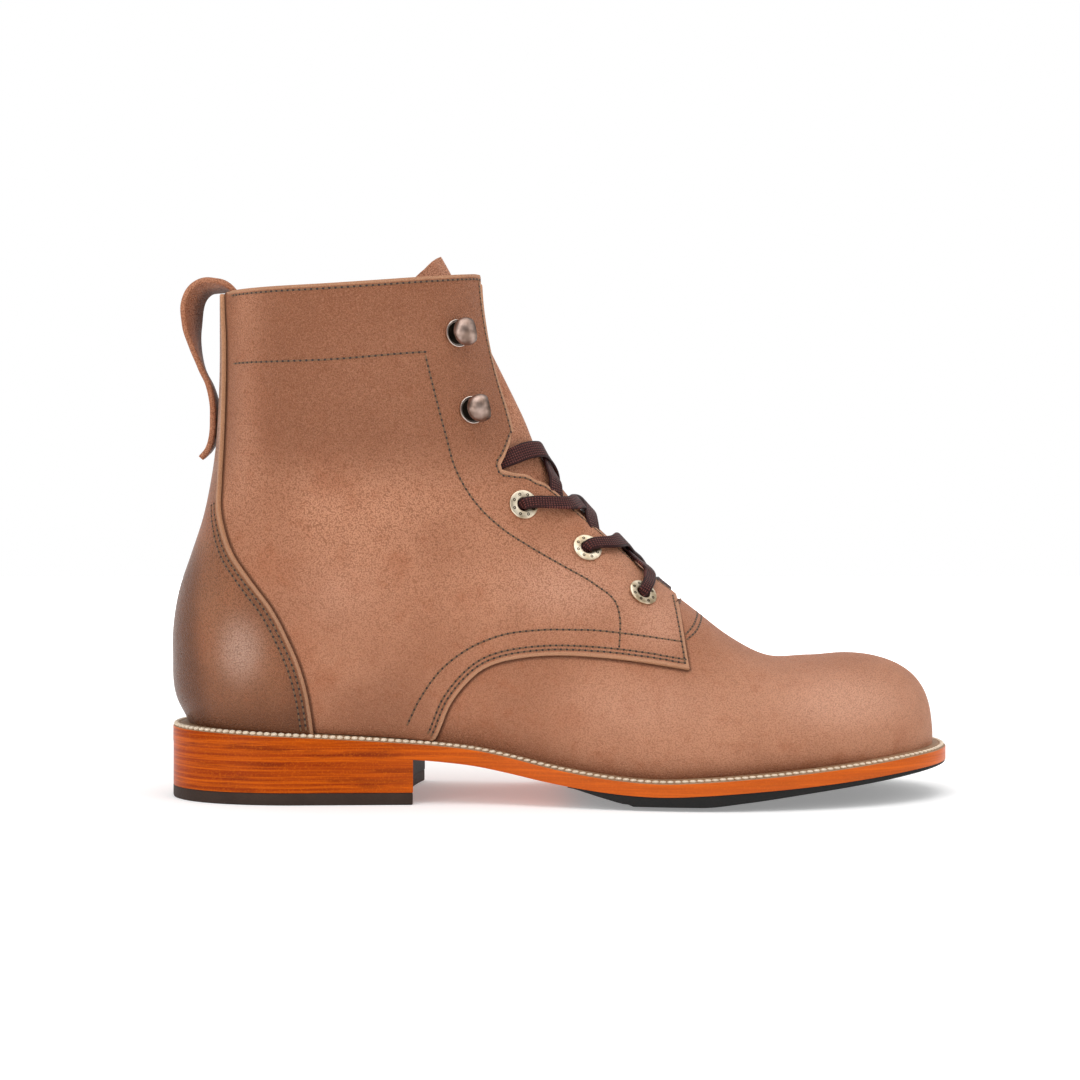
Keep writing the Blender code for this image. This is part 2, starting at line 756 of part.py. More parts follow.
def heel_outline():
    """Plan of the heel: the sole's back and a hollow breast."""
    outline = plan_outline(welt_margin, 84)
    half = len(outline) // 2
    lateral = outline[: half + 1]
    medial = np.concatenate([outline[half:], outline[:1]])[::-1]
    right = [tuple(point) for point in lateral if point[0] < HEEL_BREAST - 3.0]
    left = [tuple(point) for point in medial[1:] if point[0] < HEEL_BREAST - 3.0]
    right_y, left_y = sides_at(outline, np.array([HEEL_BREAST]))
    corner_right = (HEEL_BREAST, float(right_y[0]))
    corner_left = (HEEL_BREAST, float(left_y[0]))
    breast = []
    for t in np.linspace(-1, 1, 7)[1:-1]:
        y = corner_right[1] + (corner_left[1] - corner_right[1]) * (t + 1) / 2
        breast.append((HEEL_BREAST - BREAST_HOLLOW * (1 - t * t), y))
    return [*right, corner_right, *breast, corner_left, *left[::-1]]


def build_prism(name, outline, top, bottom):
    """Upright solid over a plan outline, between two planes sloping along X."""
    bm = bmesh.new()
    low = [bm.verts.new((x, y, float(bottom(x)))) for x, y in outline]
    high = [bm.verts.new((x, y, float(top(x)))) for x, y in outline]
    for i in range(len(outline)):
        j = (i + 1) % len(outline)
        bm.faces.new((low[i], low[j], high[j], high[i]))
    bm.faces.new(low)
    bm.faces.new(high)
    return new_object(name, bm)


def build_heel():
    """Stacked heel and its top lift."""
    outline = heel_outline()
    back_z = sole_bottom(SOLE_BACK) - GAP
    breast_z = sole_bottom(HEEL_BREAST) - GAP
    slope = (breast_z - back_z) / (HEEL_BREAST - SOLE_BACK)
    sag = max(float(back_z + slope * (x - SOLE_BACK) - sole_bottom(x) + GAP) for x in range(-150, -54))
    stack = build_prism(
        "heel_stack",
        outline,
        lambda x: back_z + slope * (x - SOLE_BACK) - max(sag, 0.0),
        lambda x: TOP_LIFT_THICK + GAP,
    )
    lift = build_prism("top_lift", outline, lambda x: TOP_LIFT_THICK, lambda x: 0.0)
    return [stack, lift]


def add_band(bm, middle, across, outward, width, thick):
    """Flat band swept along points, with its width and thickness directions given at each."""
    rings = []
    for place, side, up in zip(middle, across, outward):
        half = side * width / 2
        rise = up * thick / 2
        rings.append([place - half - rise, place + half - rise, place + half + rise, place - half + rise])
    verts = add_grid(bm, rings, closed=True)
    bm.faces.new(verts[0])
    bm.faces.new(verts[-1])


def build_pull_loop():
    """Strap that runs out of the collar, round and down to the back seam."""
    bm = bmesh.new()
    Knot = namedtuple("Knot", "t x z")
    knots = [Knot(k, *row) for k, row in enumerate(PULL_LOOP)]
    at = np.linspace(0, len(PULL_LOOP) - 1, 34)
    line = np.stack([smooth(knots, "t", "x")(at), np.zeros_like(at), smooth(knots, "t", "z")(at)], axis=-1)
    along = np.gradient(line, axis=0)
    along /= np.linalg.norm(along, axis=-1, keepdims=True)
    across = np.tile([0.0, 1.0, 0.0], (len(line), 1))
    add_band(bm, line, across, np.cross(along, across), LOOP_WIDTH, LOOP_THICK)
    return new_object("pull_loop", bm)


def over_throat(z, y):
    """Point just over the throat at a ridge height and place across, and the way out there."""
    side = MEDIAL if y >= 0 else LATERAL
    start = np.array([shaft_front(z), z])
    slope = np.array([shaft_front(z + 1) - shaft_front(z - 1), 2.0])
    outward = np.array([slope[1], -slope[0]]) / np.linalg.norm(slope)
    reach = np.abs(y) + np.array([0.0, -0.5, 0.5])
    depth, before, after = ridge_depth(start, -outward, np.maximum(reach, 0.0), side)
    place = start - outward * depth
    normal = np.array([outward[0], side * (after - before), outward[1]])
    normal /= np.linalg.norm(normal)
    middle = np.array([place[0], last_line(place[0]) + y, place[1]])
    return middle + normal * (LACE_CLEAR + LACE_THICK / 2), normal


def lace_band(bm, start, end):
    """One length of lace over the throat between two ridge heights and places across."""
    rows = [over_throat(*(np.array(start) * (1 - t) + np.array(end) * t)) for t in np.linspace(0, 1, 8)]
    middle = np.array([row[0] for row in rows])
    outward = np.array([row[1] for row in rows])
    along = np.gradient(middle, axis=0)
    along /= np.linalg.norm(along, axis=-1, keepdims=True)
    add_band(bm, middle, np.cross(along, outward), outward, LACE_WIDTH, LACE_THICK)


def build_lace():
    """Crossed lengths of lace over the tongue and the bottom bar."""
    made = []
    for number, row in enumerate(LACE_CROSSINGS, 1):
        bm = bmesh.new()
        lace_band(bm, (row.high_z, -row.high_y), (row.low_z, row.low_y))
        length = new_object(f"lace_crossing_{number}", bm)
        other = bmesh.new()
        lace_band(other, (row.high_z, row.high_y), (row.low_z, -row.low_y))
        over = new_object(f"lace_over_{number}", other)
        over.hide_render = True
        over.display_type = "WIRE"
        join = length.modifiers.new("cross", "BOOLEAN")
        join.operation = "UNION"
        join.solver = "EXACT"
        join.object = over
        made.append(length)
    bm = bmesh.new()
    lace_band(bm, (LACE_BAR_Z, -LACE_BAR_Y), (LACE_BAR_Z, LACE_BAR_Y))
    made.append(new_object("lace_bar", bm))
    return made


# Plain finish of each piece: colour, roughness, metal
Finish = namedtuple("Finish", "red green blue rough metal")
TAN = Finish(0.42, 0.18, 0.10, 0.5, 0.0)
FINISHES = {
    "upper": TAN,
    "heel_counter": Finish(0.36, 0.15, 0.085, 0.42, 0.0),
    "tongue": TAN,
    "pull_loop": TAN,
    "insole": Finish(0.5, 0.3, 0.17, 0.7, 0.0),
    "welt": Finish(0.55, 0.3, 0.14, 0.6, 0.0),
    "outsole": Finish(0.5, 0.08, 0.01, 0.35, 0.0),
    "heel_stack": Finish(0.45, 0.06, 0.008, 0.35, 0.0),
    "forefoot_rubber": Finish(0.012, 0.011, 0.011, 0.6, 0.0),
    "top_lift": Finish(0.05, 0.028, 0.022, 0.6, 0.0),
    "lace": Finish(0.073, 0.023, 0.02, 0.6, 0.0),
    "eyelet": Finish(0.55, 0.42, 0.33, 0.35, 1.0),
    "hook": Finish(0.45, 0.35, 0.3, 0.35, 1.0),
}


def give_finish(thing):
    """Own material for a piece, picked by the start of its name."""
    finish = next(FINISHES[key] for key in FINISHES if thing.name.startswith(key))
    material = bpy.data.materials.new(thing.name)
    material.use_nodes = True
    shader = material.node_tree.nodes["Principled BSDF"]
    shader.inputs["Base Color"].default_value = (finish.red, finish.green, finish.blue, 1.0)
    shader.inputs["Roughness"].default_value = finish.rough
    shader.inputs["Metallic"].default_value = finish.metal
    thing.data.materials.append(material)


for old in list(bpy.data.objects):
    bpy.data.objects.remove(old, do_unlink=True)

pieces = [build_upper(), build_counter(), build_tongue(), build_welt(), build_pull_loop()]
pieces += build_sole() + build_heel() + build_eyelets() + build_hooks() + build_lace()
for piece in pieces:
    give_finish(piece)
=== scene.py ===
"""Looks of the right lace-up leather boot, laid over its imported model.

Tables are in millimetres and the scene is in metres. +X points to the toe, +Y to the
inner (medial) side, +Z up. The floor is Z = 0.
"""

import math
from collections import namedtuple

import bpy
import numpy as np
from mathutils import Matrix, Vector
from mathutils.kdtree import KDTree


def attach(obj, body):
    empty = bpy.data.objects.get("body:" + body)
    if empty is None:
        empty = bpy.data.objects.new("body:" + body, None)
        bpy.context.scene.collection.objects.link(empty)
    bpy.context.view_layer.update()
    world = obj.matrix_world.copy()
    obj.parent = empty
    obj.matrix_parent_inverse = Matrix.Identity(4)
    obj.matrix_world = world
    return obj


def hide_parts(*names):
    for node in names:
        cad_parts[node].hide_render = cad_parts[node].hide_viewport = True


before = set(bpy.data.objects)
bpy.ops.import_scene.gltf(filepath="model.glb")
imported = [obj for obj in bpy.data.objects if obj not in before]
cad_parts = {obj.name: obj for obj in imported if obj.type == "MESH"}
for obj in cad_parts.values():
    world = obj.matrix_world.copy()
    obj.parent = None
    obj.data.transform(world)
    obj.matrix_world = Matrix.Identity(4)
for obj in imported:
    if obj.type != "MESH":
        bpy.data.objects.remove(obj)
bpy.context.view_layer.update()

MM = 0.001
FAR = 99.0
BODY = "root"
LATERAL = -1
MEDIAL = 1
SIDES = (LATERAL, MEDIAL)
SIDE_NAMES = {LATERAL: "lateral", MEDIAL: "medial"}

# Form of the last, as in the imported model
UPPER_TIP = 145.0
TOE_PLAN_START = 55.0
TOE_PLAN_POWER = 2.35
TOE_TOP_START = 98.0
TOE_TOP_POWER = 3.1
VAMP_POWER = 2.15
VAMP_BULGE = 0.035
BULGE_SHARE = 0.6
HEEL_REACH = 43.0
SHAFT_REAR_REACH = 50.0
REACH_LOW = 60.0
REACH_SPAN = 80.0
BACK_POWER = 2.2
FRONT_POWER = 2.0
BLEND_FRONT = 5.0
BLEND_LEAN = 0.3
BLEND_LOW = 20.0
BLEND_SPAN = 60.0
FEATHER_GAP = 0.3

# Leather, thread and sole sizes
LEATHER = 1.7
TUCK_UNDER = 0.6
VAMP_SINK = 1.7
SEAM_STEP = 1.2
SEAM_FADE = 11.0
COUNTER_LIFT = 1.9
LINING_DEPTH = 1.9
LINING_THICK = 0.9
TONGUE_THICK = 2.0
TONGUE_CLEAR = 1.0
TONGUE_CURVE = 30.0
TIP_CURVE = 10.0
UPPER_WALL = 2.2
WELT_THICK = 2.6
WELT_SLOPE = 1.3
WELT_STRIP = 15.0
RUBBER_THICK = 3.3
RUBBER_BACK = 2.0
RUBBER_FEATHER = 20.0
HEEL_BREAST = -55.0
BREAST_HOLLOW = 4.0
TOP_LIFT_THICK = 4.6
STITCH_PITCH = 2.3
WELT_PITCH = 2.7
LOOP_WIDTH = 15.0
LOOP_THICK = 2.2
LACE_WIDTH = 7.0
LACE_THICK = 1.3
PUNCH_RADIUS = 3.2
PUNCH_LENGTH = 14.0
EYELET_RADIUS = 5.6
EYELET_HOLE = 2.5
EYELET_FLANGE = 0.9
EYELET_DEPTH = 2.4
EYELET_DOTS = 8
DOT_CIRCLE = 4.1
DOT_RADIUS = 0.42
DOT_WIRE = 0.17
HOOK_BASE_RADIUS = 5.2
HOOK_BASE_THICK = 1.3
HOOK_RIM_WIDTH = 1.1
HOOK_DISH = 0.8
HOOK_NECK_RADIUS = 2.2
HOOK_NECK_LENGTH = 4.0
HOOK_NECK_FORWARD = 1.2
HOOK_CAP_RADIUS = 5.3
HOOK_CAP_UNDER = 0.9
HOOK_CAP_FLATTEN = 0.74
HOOK_CAP_FORWARD = 1.9
HOOK_CAP_HEIGHT = 3.5
HOOK_CUT = 2.2
HOOK_BITE = 15.0

# Foot sections across X: welt top, instep ridge, half widths at the feather edge, line of the last
Foot = namedtuple("Foot", "x welt ridge lateral medial centre")
FOOT = (
    Foot(-150, 28.4, 330.0, 31.0, 31.0, 0.0),
    Foot(-100, 26.4, 300.0, 31.5, 31.0, 0.0),
    Foot(-62, 24.3, 262.0, 31.5, 29.4, 0.0),
    Foot(-45, 23.0, 228.0, 32.0, 26.6, 0.0),
    Foot(-31, 21.3, 198.0, 33.0, 24.6, 0.0),
    Foot(-20, 19.1, 157.0, 34.4, 24.8, 0.0),
    Foot(-7, 16.2, 132.0, 36.8, 27.0, 0.0),
    Foot(8, 13.5, 111.2, 40.4, 31.6, 0.0),
    Foot(22, 11.8, 96.6, 43.8, 36.6, 0.0),
    Foot(36, 11.1, 83.6, 46.6, 41.2, 0.2),
    Foot(52, 11.8, 71.0, 48.4, 44.6, 0.6),
    Foot(66, 12.8, 60.4, 48.8, 45.8, 1.2),
    Foot(80, 13.8, 53.4, 48.6, 46.0, 2.1),
    Foot(97, 15.2, 53.2, 48.2, 45.6, 3.4),
    Foot(112, 16.6, 54.4, 47.6, 45.0, 4.8),
    Foot(130, 18.4, 54.6, 46.8, 44.4, 6.4),
    Foot(150, 20.0, 54.6, 46.0, 44.0, 8.0),
)

# Heel and shaft sections across Z: back line, front line, half widths
Shaft = namedtuple("Shaft", "z back front lateral medial")
SHAFT = (
    Shaft(16, -139.0, 150.0, 30.0, 29.4),
    Shaft(24, -140.0, 144.5, 31.0, 30.4),
    Shaft(30, -142.6, 142.0, 32.2, 31.6),
    Shaft(38, -146.6, 136.0, 33.4, 32.8),
    Shaft(50, -148.1, 122.0, 34.0, 33.4),
    Shaft(64, -148.0, 63.0, 33.8, 33.2),
    Shaft(78, -145.8, 42.8, 33.6, 33.0),
    Shaft(92, -141.2, 26.4, 33.8, 33.2),
    Shaft(106, -136.6, 12.4, 34.4, 33.8),
    Shaft(120, -133.6, -0.4, 35.0, 34.4),
    Shaft(132, -131.8, -8.2, 35.6, 35.0),
    Shaft(145, -130.8, -14.6, 36.2, 35.6),
    Shaft(158, -130.2, -20.4, 36.8, 36.2),
    Shaft(170, -130.0, -24.2, 37.4, 36.8),
    Shaft(185, -130.0, -27.0, 38.0, 37.4),
    Shaft(205, -130.0, -29.0, 38.6, 38.0),
)

# Top line of the collar
Collar = namedtuple("Collar", "x z")
COLLAR = (
    Collar(-131, 192.4),
    Collar(-112, 192.0),
    Collar(-94, 192.2),
    Collar(-76, 193.2),
    Collar(-59, 194.8),
    Collar(-42, 197.2),
    Collar(-27, 200.2),
)

# Throat edge from the collar down: half width of the opening at each height
Throat = namedtuple("Throat", "z half_gap")
THROAT = (
    Throat(199.6, 12.0),
    Throat(188.0, 11.8),
    Throat(177.0, 11.6),
    Throat(166.0, 11.6),
    Throat(157.0, 12.2),
    Throat(148.0, 13.4),
    Throat(139.5, 14.8),
    Throat(133.0, 18.6),
    Throat(127.2, 23.4),
    Throat(124.8, 23.6),
    Throat(123.2, 20.4),
    Throat(121.8, 16.8),
    Throat(117.8, 13.6),
    Throat(111.0, 12.0),
    Throat(102.5, 10.6),
    Throat(94.5, 9.8),
    Throat(87.0, 9.4),
    Throat(80.5, 9.0),
    Throat(75.2, 7.4),
)
THROAT_END_X = 52.5

# Ribs of a quarter: a place on its lower edge and the place above it on its top edge.
# Without a lower height the rib stands on the welt. Without a top x it ends on the throat,
# and without a top z on the collar. The notch of the throat is cut out afterwards.
Rib = namedtuple("Rib", "foot_x foot_z top_x top_z")
QUARTER_RIBS = (
    Rib(-139.0, None, -130.0, None),
    Rib(-136.5, None, -127.0, None),
    Rib(-130.0, None, -112.0, None),
    Rib(-119.0, None, -90.0, None),
    Rib(-108.0, None, -68.0, None),
    Rib(-100.0, None, -48.0, None),
    Rib(-96.0, None, -37.0, None),
    Rib(-94.0, None, -32.2, None),
    Rib(-92.0, None, None, 198.8),
    Rib(-90.5, None, None, 195.0),
    Rib(-87.0, None, None, 188.0),
    Rib(-82.5, None, None, 177.0),
    Rib(-78.0, None, None, 166.0),
    Rib(-74.5, None, None, 157.0),
    Rib(-71.0, None, None, 148.0),
    Rib(-67.0, None, None, 139.5),
    Rib(-62.5, None, -16.6, 133.5),
    Rib(-58.0, None, -14.2, 128.0),
    Rib(-53.0, None, -11.4, 121.8),
    Rib(-48.0, None, None, 119.6),
    Rib(-41.1, 37.5, None, 116.0),
    Rib(-33.5, 46.7, None, 111.0),
    Rib(-25.9, 51.6, None, 106.0),
    Rib(-14.6, 54.3, None, 101.0),
    Rib(0.4, 55.4, None, 96.0),
    Rib(15.4, 54.7, None, 90.0),
    Rib(30.4, 52.9, None, 83.0),
    Rib(46.6, 50.2, 43.2, 76.4),
)
SWOOP_RIB = 19
COLLAR_RIB = 8
NOTCH_RIB = 17.0
RIB_BOW = -6.0
BOW_RIB = 19.5
BOW_SPREAD = 4.0

# Notch between the lower and upper facings, closed round over the throat
Notch = namedtuple("Notch", "x z")
NOTCH = (
    Notch(-18.9, 139.2),
    Notch(-19.3, 135.2),
    Notch(-21.3, 129.7),
    Notch(-22.9, 126.4),
    Notch(-22.3, 124.5),
    Notch(-18.6, 123.5),
    Notch(-13.4, 122.9),
    Notch(-9.6, 121.4),
    Notch(4.0, 122.0),
    Notch(0.0, 141.0),
)

NOTCH_DEPTH = 45.0

# Ribs of the vamp: lower edge on the welt, top edge hidden under the quarter and then on the ridge
VAMP_RIBS = (
    Rib(-61.0, None, -57.5, 35.0),
    Rib(-55.0, None, -51.0, 42.0),
    Rib(-44.0, None, -40.0, 54.0),
    Rib(-28.0, None, -18.0, 62.0),
    Rib(-8.0, None, 6.0, 65.0),
    Rib(12.0, None, 26.0, 67.0),
    Rib(24.0, None, 37.0, 71.0),
    Rib(33.0, None, 46.5, None),
    Rib(46.0, None, 56.0, None),
    Rib(62.0, None, 69.0, None),
    Rib(80.0, None, 85.0, None),
    Rib(99.0, None, 102.0, None),
    Rib(116.0, None, 118.0, None),
    Rib(129.0, None, 130.0, None),
    Rib(137.5, None, 138.0, None),
    Rib(142.5, None, 142.7, None),
    Rib(145.0, None, 145.0, None),
)
VAMP_RIDGE_RIB = 7

# Front edge of the counter and backstay, from the collar down to the feather edge
Edge = namedtuple("Edge", "z x")
COUNTER_EDGE = (
    Edge(200, -128.6),
    Edge(190, -128.5),
    Edge(172, -127.4),
    Edge(150, -127.6),
    Edge(126, -128.2),
    Edge(113, -128.4),
    Edge(102, -126.2),
    Edge(93, -122.4),
    Edge(83, -115.2),
    Edge(73, -107.6),
    Edge(61, -101.2),
    Edge(50, -96.6),
    Edge(41, -94.2),
    Edge(27, -92.2),
    Edge(16, -91.0),
)

# Thickness of the leather outsole
Sole = namedtuple("Sole", "x thick")
OUTSOLE = (
    Sole(-150, 4.2),
    Sole(-30, 4.2),
    Sole(10, 3.4),
    Sole(40, 3.1),
    Sole(150, 3.4),
)

# How far the welt and sole stand out past the upper's feather edge
Margin = namedtuple("Margin", "x out")
WELT_MARGIN = (
    Margin(-140, 8.0),
    Margin(-128, 6.2),
    Margin(-95, 4.8),
    Margin(-40, 4.2),
    Margin(10, 4.6),
    Margin(80, 5.0),
    Margin(150, 5.0),
)

# Underside of the rubber half sole on its middle line
Tread = namedtuple("Tread", "x z")
TREAD = (
    Tread(-5, 6.2),
    Tread(10, 1.6),
    Tread(24, 0.0),
    Tread(37, 0.0),
    Tread(50, 0.0),
    Tread(66, 1.6),
    Tread(90, 4.6),
    Tread(120, 8.0),
    Tread(150, 11.6),
)
TREAD_FLAT_BACK = 24.0
TREAD_CROWN = 1.5
TREAD_CROWN_START = 0.6

# Middle line of the tongue, from under the vamp to its tip, and its half width
Tongue = namedtuple("Tongue", "x z half_width")
TONGUE = (
    Tongue(58.2, 62.6, 17.0),
    Tongue(52.2, 67.2, 18.0),
    Tongue(43.8, 75.4, 19.0),
    Tongue(29.6, 89.4, 20.0),
    Tongue(15.4, 102.0, 21.0),
    Tongue(1.8, 116.4, 22.0),
    Tongue(-8.4, 131.2, 23.0),
    Tongue(-14.4, 145.2, 24.0),
    Tongue(-21.4, 159.6, 24.0),
    Tongue(-28.6, 174.0, 22.5),
    Tongue(-36.6, 190.0, 21.0),
    Tongue(-43.4, 202.6, 17.0),
    Tongue(-45.4, 206.2, 11.0),
    Tongue(-46.2, 207.6, 6.0),
    Tongue(-46.5, 208.0, 1.5),
)

# Middle line of the pull loop, from inside the collar round to the loose tail, and its twist in degrees
Strap = namedtuple("Strap", "x z twist")
PULL_LOOP = (
    Strap(-123.8, 178.0, 0.0),
    Strap(-124.0, 189.0, 0.0),
    Strap(-126.8, 194.6, 2.0),
    Strap(-132.0, 196.8, 8.0),
    Strap(-137.4, 196.6, 13.0),
    Strap(-141.4, 193.6, 18.0),
    Strap(-143.3, 188.4, 20.0),
    Strap(-143.4, 181.0, 14.0),
    Strap(-142.0, 172.4, 2.0),
    Strap(-139.4, 164.2, -5.0),
    Strap(-136.4, 158.0, -4.0),
    Strap(-134.6, 151.0, -2.0),
    Strap(-134.4, 144.0, -2.0),
    Strap(-134.9, 138.0, -3.0),
    Strap(-136.6, 133.4, -6.0),
    Strap(-139.4, 130.2, -8.0),
)

# Lacing holes and hooks on the side of the boot
Fitting = namedtuple("Fitting", "x z")
EYELETS = (Fitting(-14.4, 111.2), Fitting(9.6, 94.8), Fitting(30.2, 77.8))
HOOKS = (Fitting(-39.4, 175.4), Fitting(-33.8, 146.6))

# Sewn lines on a quarter, as places on the side of the boot
Seam = namedtuple("Seam", "x z")
VAMP_LINE = (
    Seam(-57.6, 29.0),
    Seam(-52.6, 39.1),
    Seam(-44.8, 49.8),
    Seam(-35.2, 57.2),
    Seam(-22.2, 62.5),
    Seam(-7.0, 64.5),
    Seam(8.2, 64.6),
    Seam(21.1, 63.5),
    Seam(34.4, 61.6),
    Seam(43.6, 59.8),
)
EYESTAY_LINE = (
    Seam(-50.8, 167.0),
    Seam(-47.1, 151.9),
    Seam(-43.4, 137.8),
    Seam(-39.4, 124.1),
    Seam(-30.8, 110.3),
    Seam(-21.5, 101.7),
    Seam(-11.8, 95.4),
    Seam(0.5, 88.3),
    Seam(11.9, 81.7),
    Seam(20.0, 74.6),
    Seam(21.5, 67.0),
    Seam(21.0, 58.5),
)
TONGUE_LINES = (
    (Seam(45.8, 62.6), Seam(49.0, 65.4), Seam(52.6, None)),
    (Seam(46.2, 60.8), Seam(50.2, 63.8), Seam(54.2, None)),
)
BAND_LINE = (Seam(-124.0, 164.6), Seam(-105.0, 164.2), Seam(-88.8, 164.4), Seam(-50.8, 167.8))

# Soft pale and dark spots of the leather on the side of the boot, with their reach along X and Z. The pale
# spots are painted highlights; the dark spots make the leather darker there.
Spot = namedtuple("Spot", "x z long tall strength")
QUARTER_HIGHLIGHTS = (
    Spot(2, 80, 26, 14, 0.7),
    Spot(38, 66, 14, 12, 0.6),
    Spot(-117, 140, 9, 40, 0.25),
    Spot(-84, 78, 20, 16, 0.4),
)
QUARTER_DARK = (Spot(-66, 38, 22, 18, 0.5),)
FACING_LIGHT = (Spot(-5, 108, 20, 16, 0.7),)
VAMP_HIGHLIGHTS = (Spot(106, 38, 28, 11, 0.95), Spot(30, 38, 34, 13, 0.5))
COUNTER_HIGHLIGHT = (Spot(-119, 57, 9, 13, 0.9),)

# Hollows and swells of the standing leather: middle, reach along and across, lean, and height
Fold = namedtuple("Fold", "x z long wide lean depth")
SHAFT_FOLDS = (
    Fold(-62.0, 96.0, 34.0, 7.0, 0.5, -0.55),
    Fold(-84.0, 112.0, 30.0, 8.0, 0.35, -0.4),
    Fold(-48.0, 78.0, 26.0, 8.0, 0.7, 0.35),
    Fold(-104.0, 140.0, 26.0, 12.0, -0.9, -0.45),
    Fold(-70.0, 186.0, 30.0, 9.0, 0.1, -0.35),
    Fold(-20.0, 78.0, 24.0, 7.0, -0.6, -0.35),
)


def through(keys, values):
    """Smooth curve through values at rising keys."""
    keys = np.asarray(keys, float)
    values = np.asarray(values, float)
    steps = np.diff(keys)
    slopes = np.diff(values) / steps
    tangents = np.empty_like(values)
    tangents[0] = slopes[0]
    tangents[-1] = slopes[-1]
    tangents[1:-1] = (slopes[:-1] * steps[1:] + slopes[1:] * steps[:-1]) / (steps[:-1] + steps[1:])
    turns = slopes[:-1] * slopes[1:] <= 0
    tangents[1:-1][turns] = 0.0

    def curve(at):
        at = np.clip(np.asarray(at, float), keys[0], keys[-1])
        index = np.clip(np.searchsorted(keys, at, side="right") - 1, 0, len(steps) - 1)
        t = (at - keys[index]) / steps[index]
        rise = t * t * (3 - 2 * t)
        start = (t - 2 * t**2 + t**3) * steps[index] * tangents[index]
        end = (t**3 - t**2) * steps[index] * tangents[index + 1]
        return values[index] + (values[index + 1] - values[index]) * rise + start + end

    return curve


def smooth(rows, key, value):
    """Smooth curve through one column of a table, as a function of another column."""
    points = sorted((getattr(row, key), getattr(row, value)) for row in rows)
    return through([point[0] for point in points], [point[1] for point in points])


def rounded(t, power):
    """Quarter of a superellipse: 1 at t = 0, falling to 0 at t = 1."""
    t = np.clip(t, 0.0, 1.0)
    return (1 - t**power) ** (1 / power)


def eased(t):
    """Smooth step from 0 to 1."""
    t = np.clip(t, 0.0, 1.0)
    return t * t * (3 - 2 * t)


def unit(vectors):
    """Vectors made one long."""
    return vectors / np.linalg.norm(vectors, axis=-1, keepdims=True)


def run_along(points):
    """Distance along a line from its start to each of its points."""
    return np.concatenate([[0.0], np.cumsum(np.linalg.norm(np.diff(points, axis=0), axis=1))])


def read_off(at, keys, rows):
    """Rows of numbers read off straight between rising keys."""
    return np.stack([np.interp(at, keys, column) for column in rows.T], axis=-1)


def smooth_rows(at, keys, rows):
    """Rows of numbers read off a smooth curve through those at rising keys."""
    return np.stack([through(keys, column)(at) for column in rows.T], axis=-1)


welt_top = smooth(FOOT, "x", "welt")
ridge_raw = smooth(FOOT, "x", "ridge")
last_line = smooth(FOOT, "x", "centre")
foot_half = {side: smooth(FOOT, "x", name) for side, name in SIDE_NAMES.items()}
shaft_back = smooth(SHAFT, "z", "back")
shaft_front = smooth(SHAFT, "z", "front")
shaft_half = {side: smooth(SHAFT, "z", name) for side, name in SIDE_NAMES.items()}
collar_z = smooth(COLLAR, "x", "z")
throat_gap = smooth(THROAT, "z", "half_gap")
counter_x = smooth(COUNTER_EDGE, "z", "x")
outsole_thick = smooth(OUTSOLE, "x", "thick")
welt_margin = smooth(WELT_MARGIN, "x", "out")
tread_z = smooth(TREAD, "x", "z")


# Surface of the upper

def feather_z(x):
    """Height of the upper's bottom edge."""
    return welt_top(x) + FEATHER_GAP


def ridge_z(x):
    """Height of the instep and toe ridge, rounded down at the toe."""
    low = feather_z(x)
    toe = rounded((x - TOE_TOP_START) / (UPPER_TIP - TOE_TOP_START), TOE_TOP_POWER)
    return low + (ridge_raw(x) - low) * toe


def half_width(x, z, side):
    """Half width of the upper at a point of its side view: foot and shaft sections, blended."""
    x = np.asarray(x, float)
    z = np.asarray(z, float)
    low = feather_z(x)
    up = np.clip((z - low) / np.maximum(ridge_z(x) - low, 1e-6), 0.0, 1.0)
    bulge = 1 + VAMP_BULGE * np.sin(math.pi * np.clip(up / BULGE_SHARE, 0, 1))
    toe = rounded((x - TOE_PLAN_START) / (UPPER_TIP - TOE_PLAN_START), TOE_PLAN_POWER)
    foot = foot_half[side](x) * toe * rounded(up, VAMP_POWER) * bulge
    reach = HEEL_REACH + (SHAFT_REAR_REACH - HEEL_REACH) * np.clip((z - REACH_LOW) / REACH_SPAN, 0, 1)
    widest = shaft_back(z) + reach
    rear = rounded((widest - x) / reach, BACK_POWER)
    front = rounded((x - widest) / (shaft_front(z) - widest), FRONT_POWER)
    shaft = shaft_half[side](z) * rear * front
    share = eased((BLEND_FRONT - (x - BLEND_LEAN * (z - BLEND_LOW))) / BLEND_SPAN)
    return foot * (1 - share) + shaft * share


def upper_point(x, z, side):
    """Point of the upper's outside, from its side view."""
    y = last_line(x) + side * half_width(x, z, side)
    return np.stack(np.broadcast_arrays(x, y, z), axis=-1)


def upper_normal(x, z, side):
    """Outward normal of the upper away from its ridge and back line."""
    step = 0.4
    along = upper_point(x + step, z, side) - upper_point(x - step, z, side)
    upward = upper_point(x, z + step, side) - upper_point(x, z - step, side)
    return unit(np.cross(along, upward) * -side)


def throat_x(z, half_gap, side):
    """Where the throat edge stands at a height: the front of the side with this half gap."""
    near = np.full_like(np.asarray(z, float), -70.0)
    far = shaft_front(z)
    for _ in range(40):
        middle = (near + far) / 2
        wide = half_width(middle, z, side) > half_gap
        near = np.where(wide, middle, near)
        far = np.where(wide, far, middle)
    return near


def ridge_depth(start, inward, reach, side):
    """How far in from the middle line the upper's outside has this half width."""
    near = np.zeros_like(reach)
    far = np.full_like(reach, 45.0)
    for _ in range(40):
        middle = (near + far) / 2
        wide = half_width(start[0] + inward[0] * middle, start[1] + inward[1] * middle, side) > reach
        far = np.where(wide, middle, far)
        near = np.where(wide, near, middle)
    return near


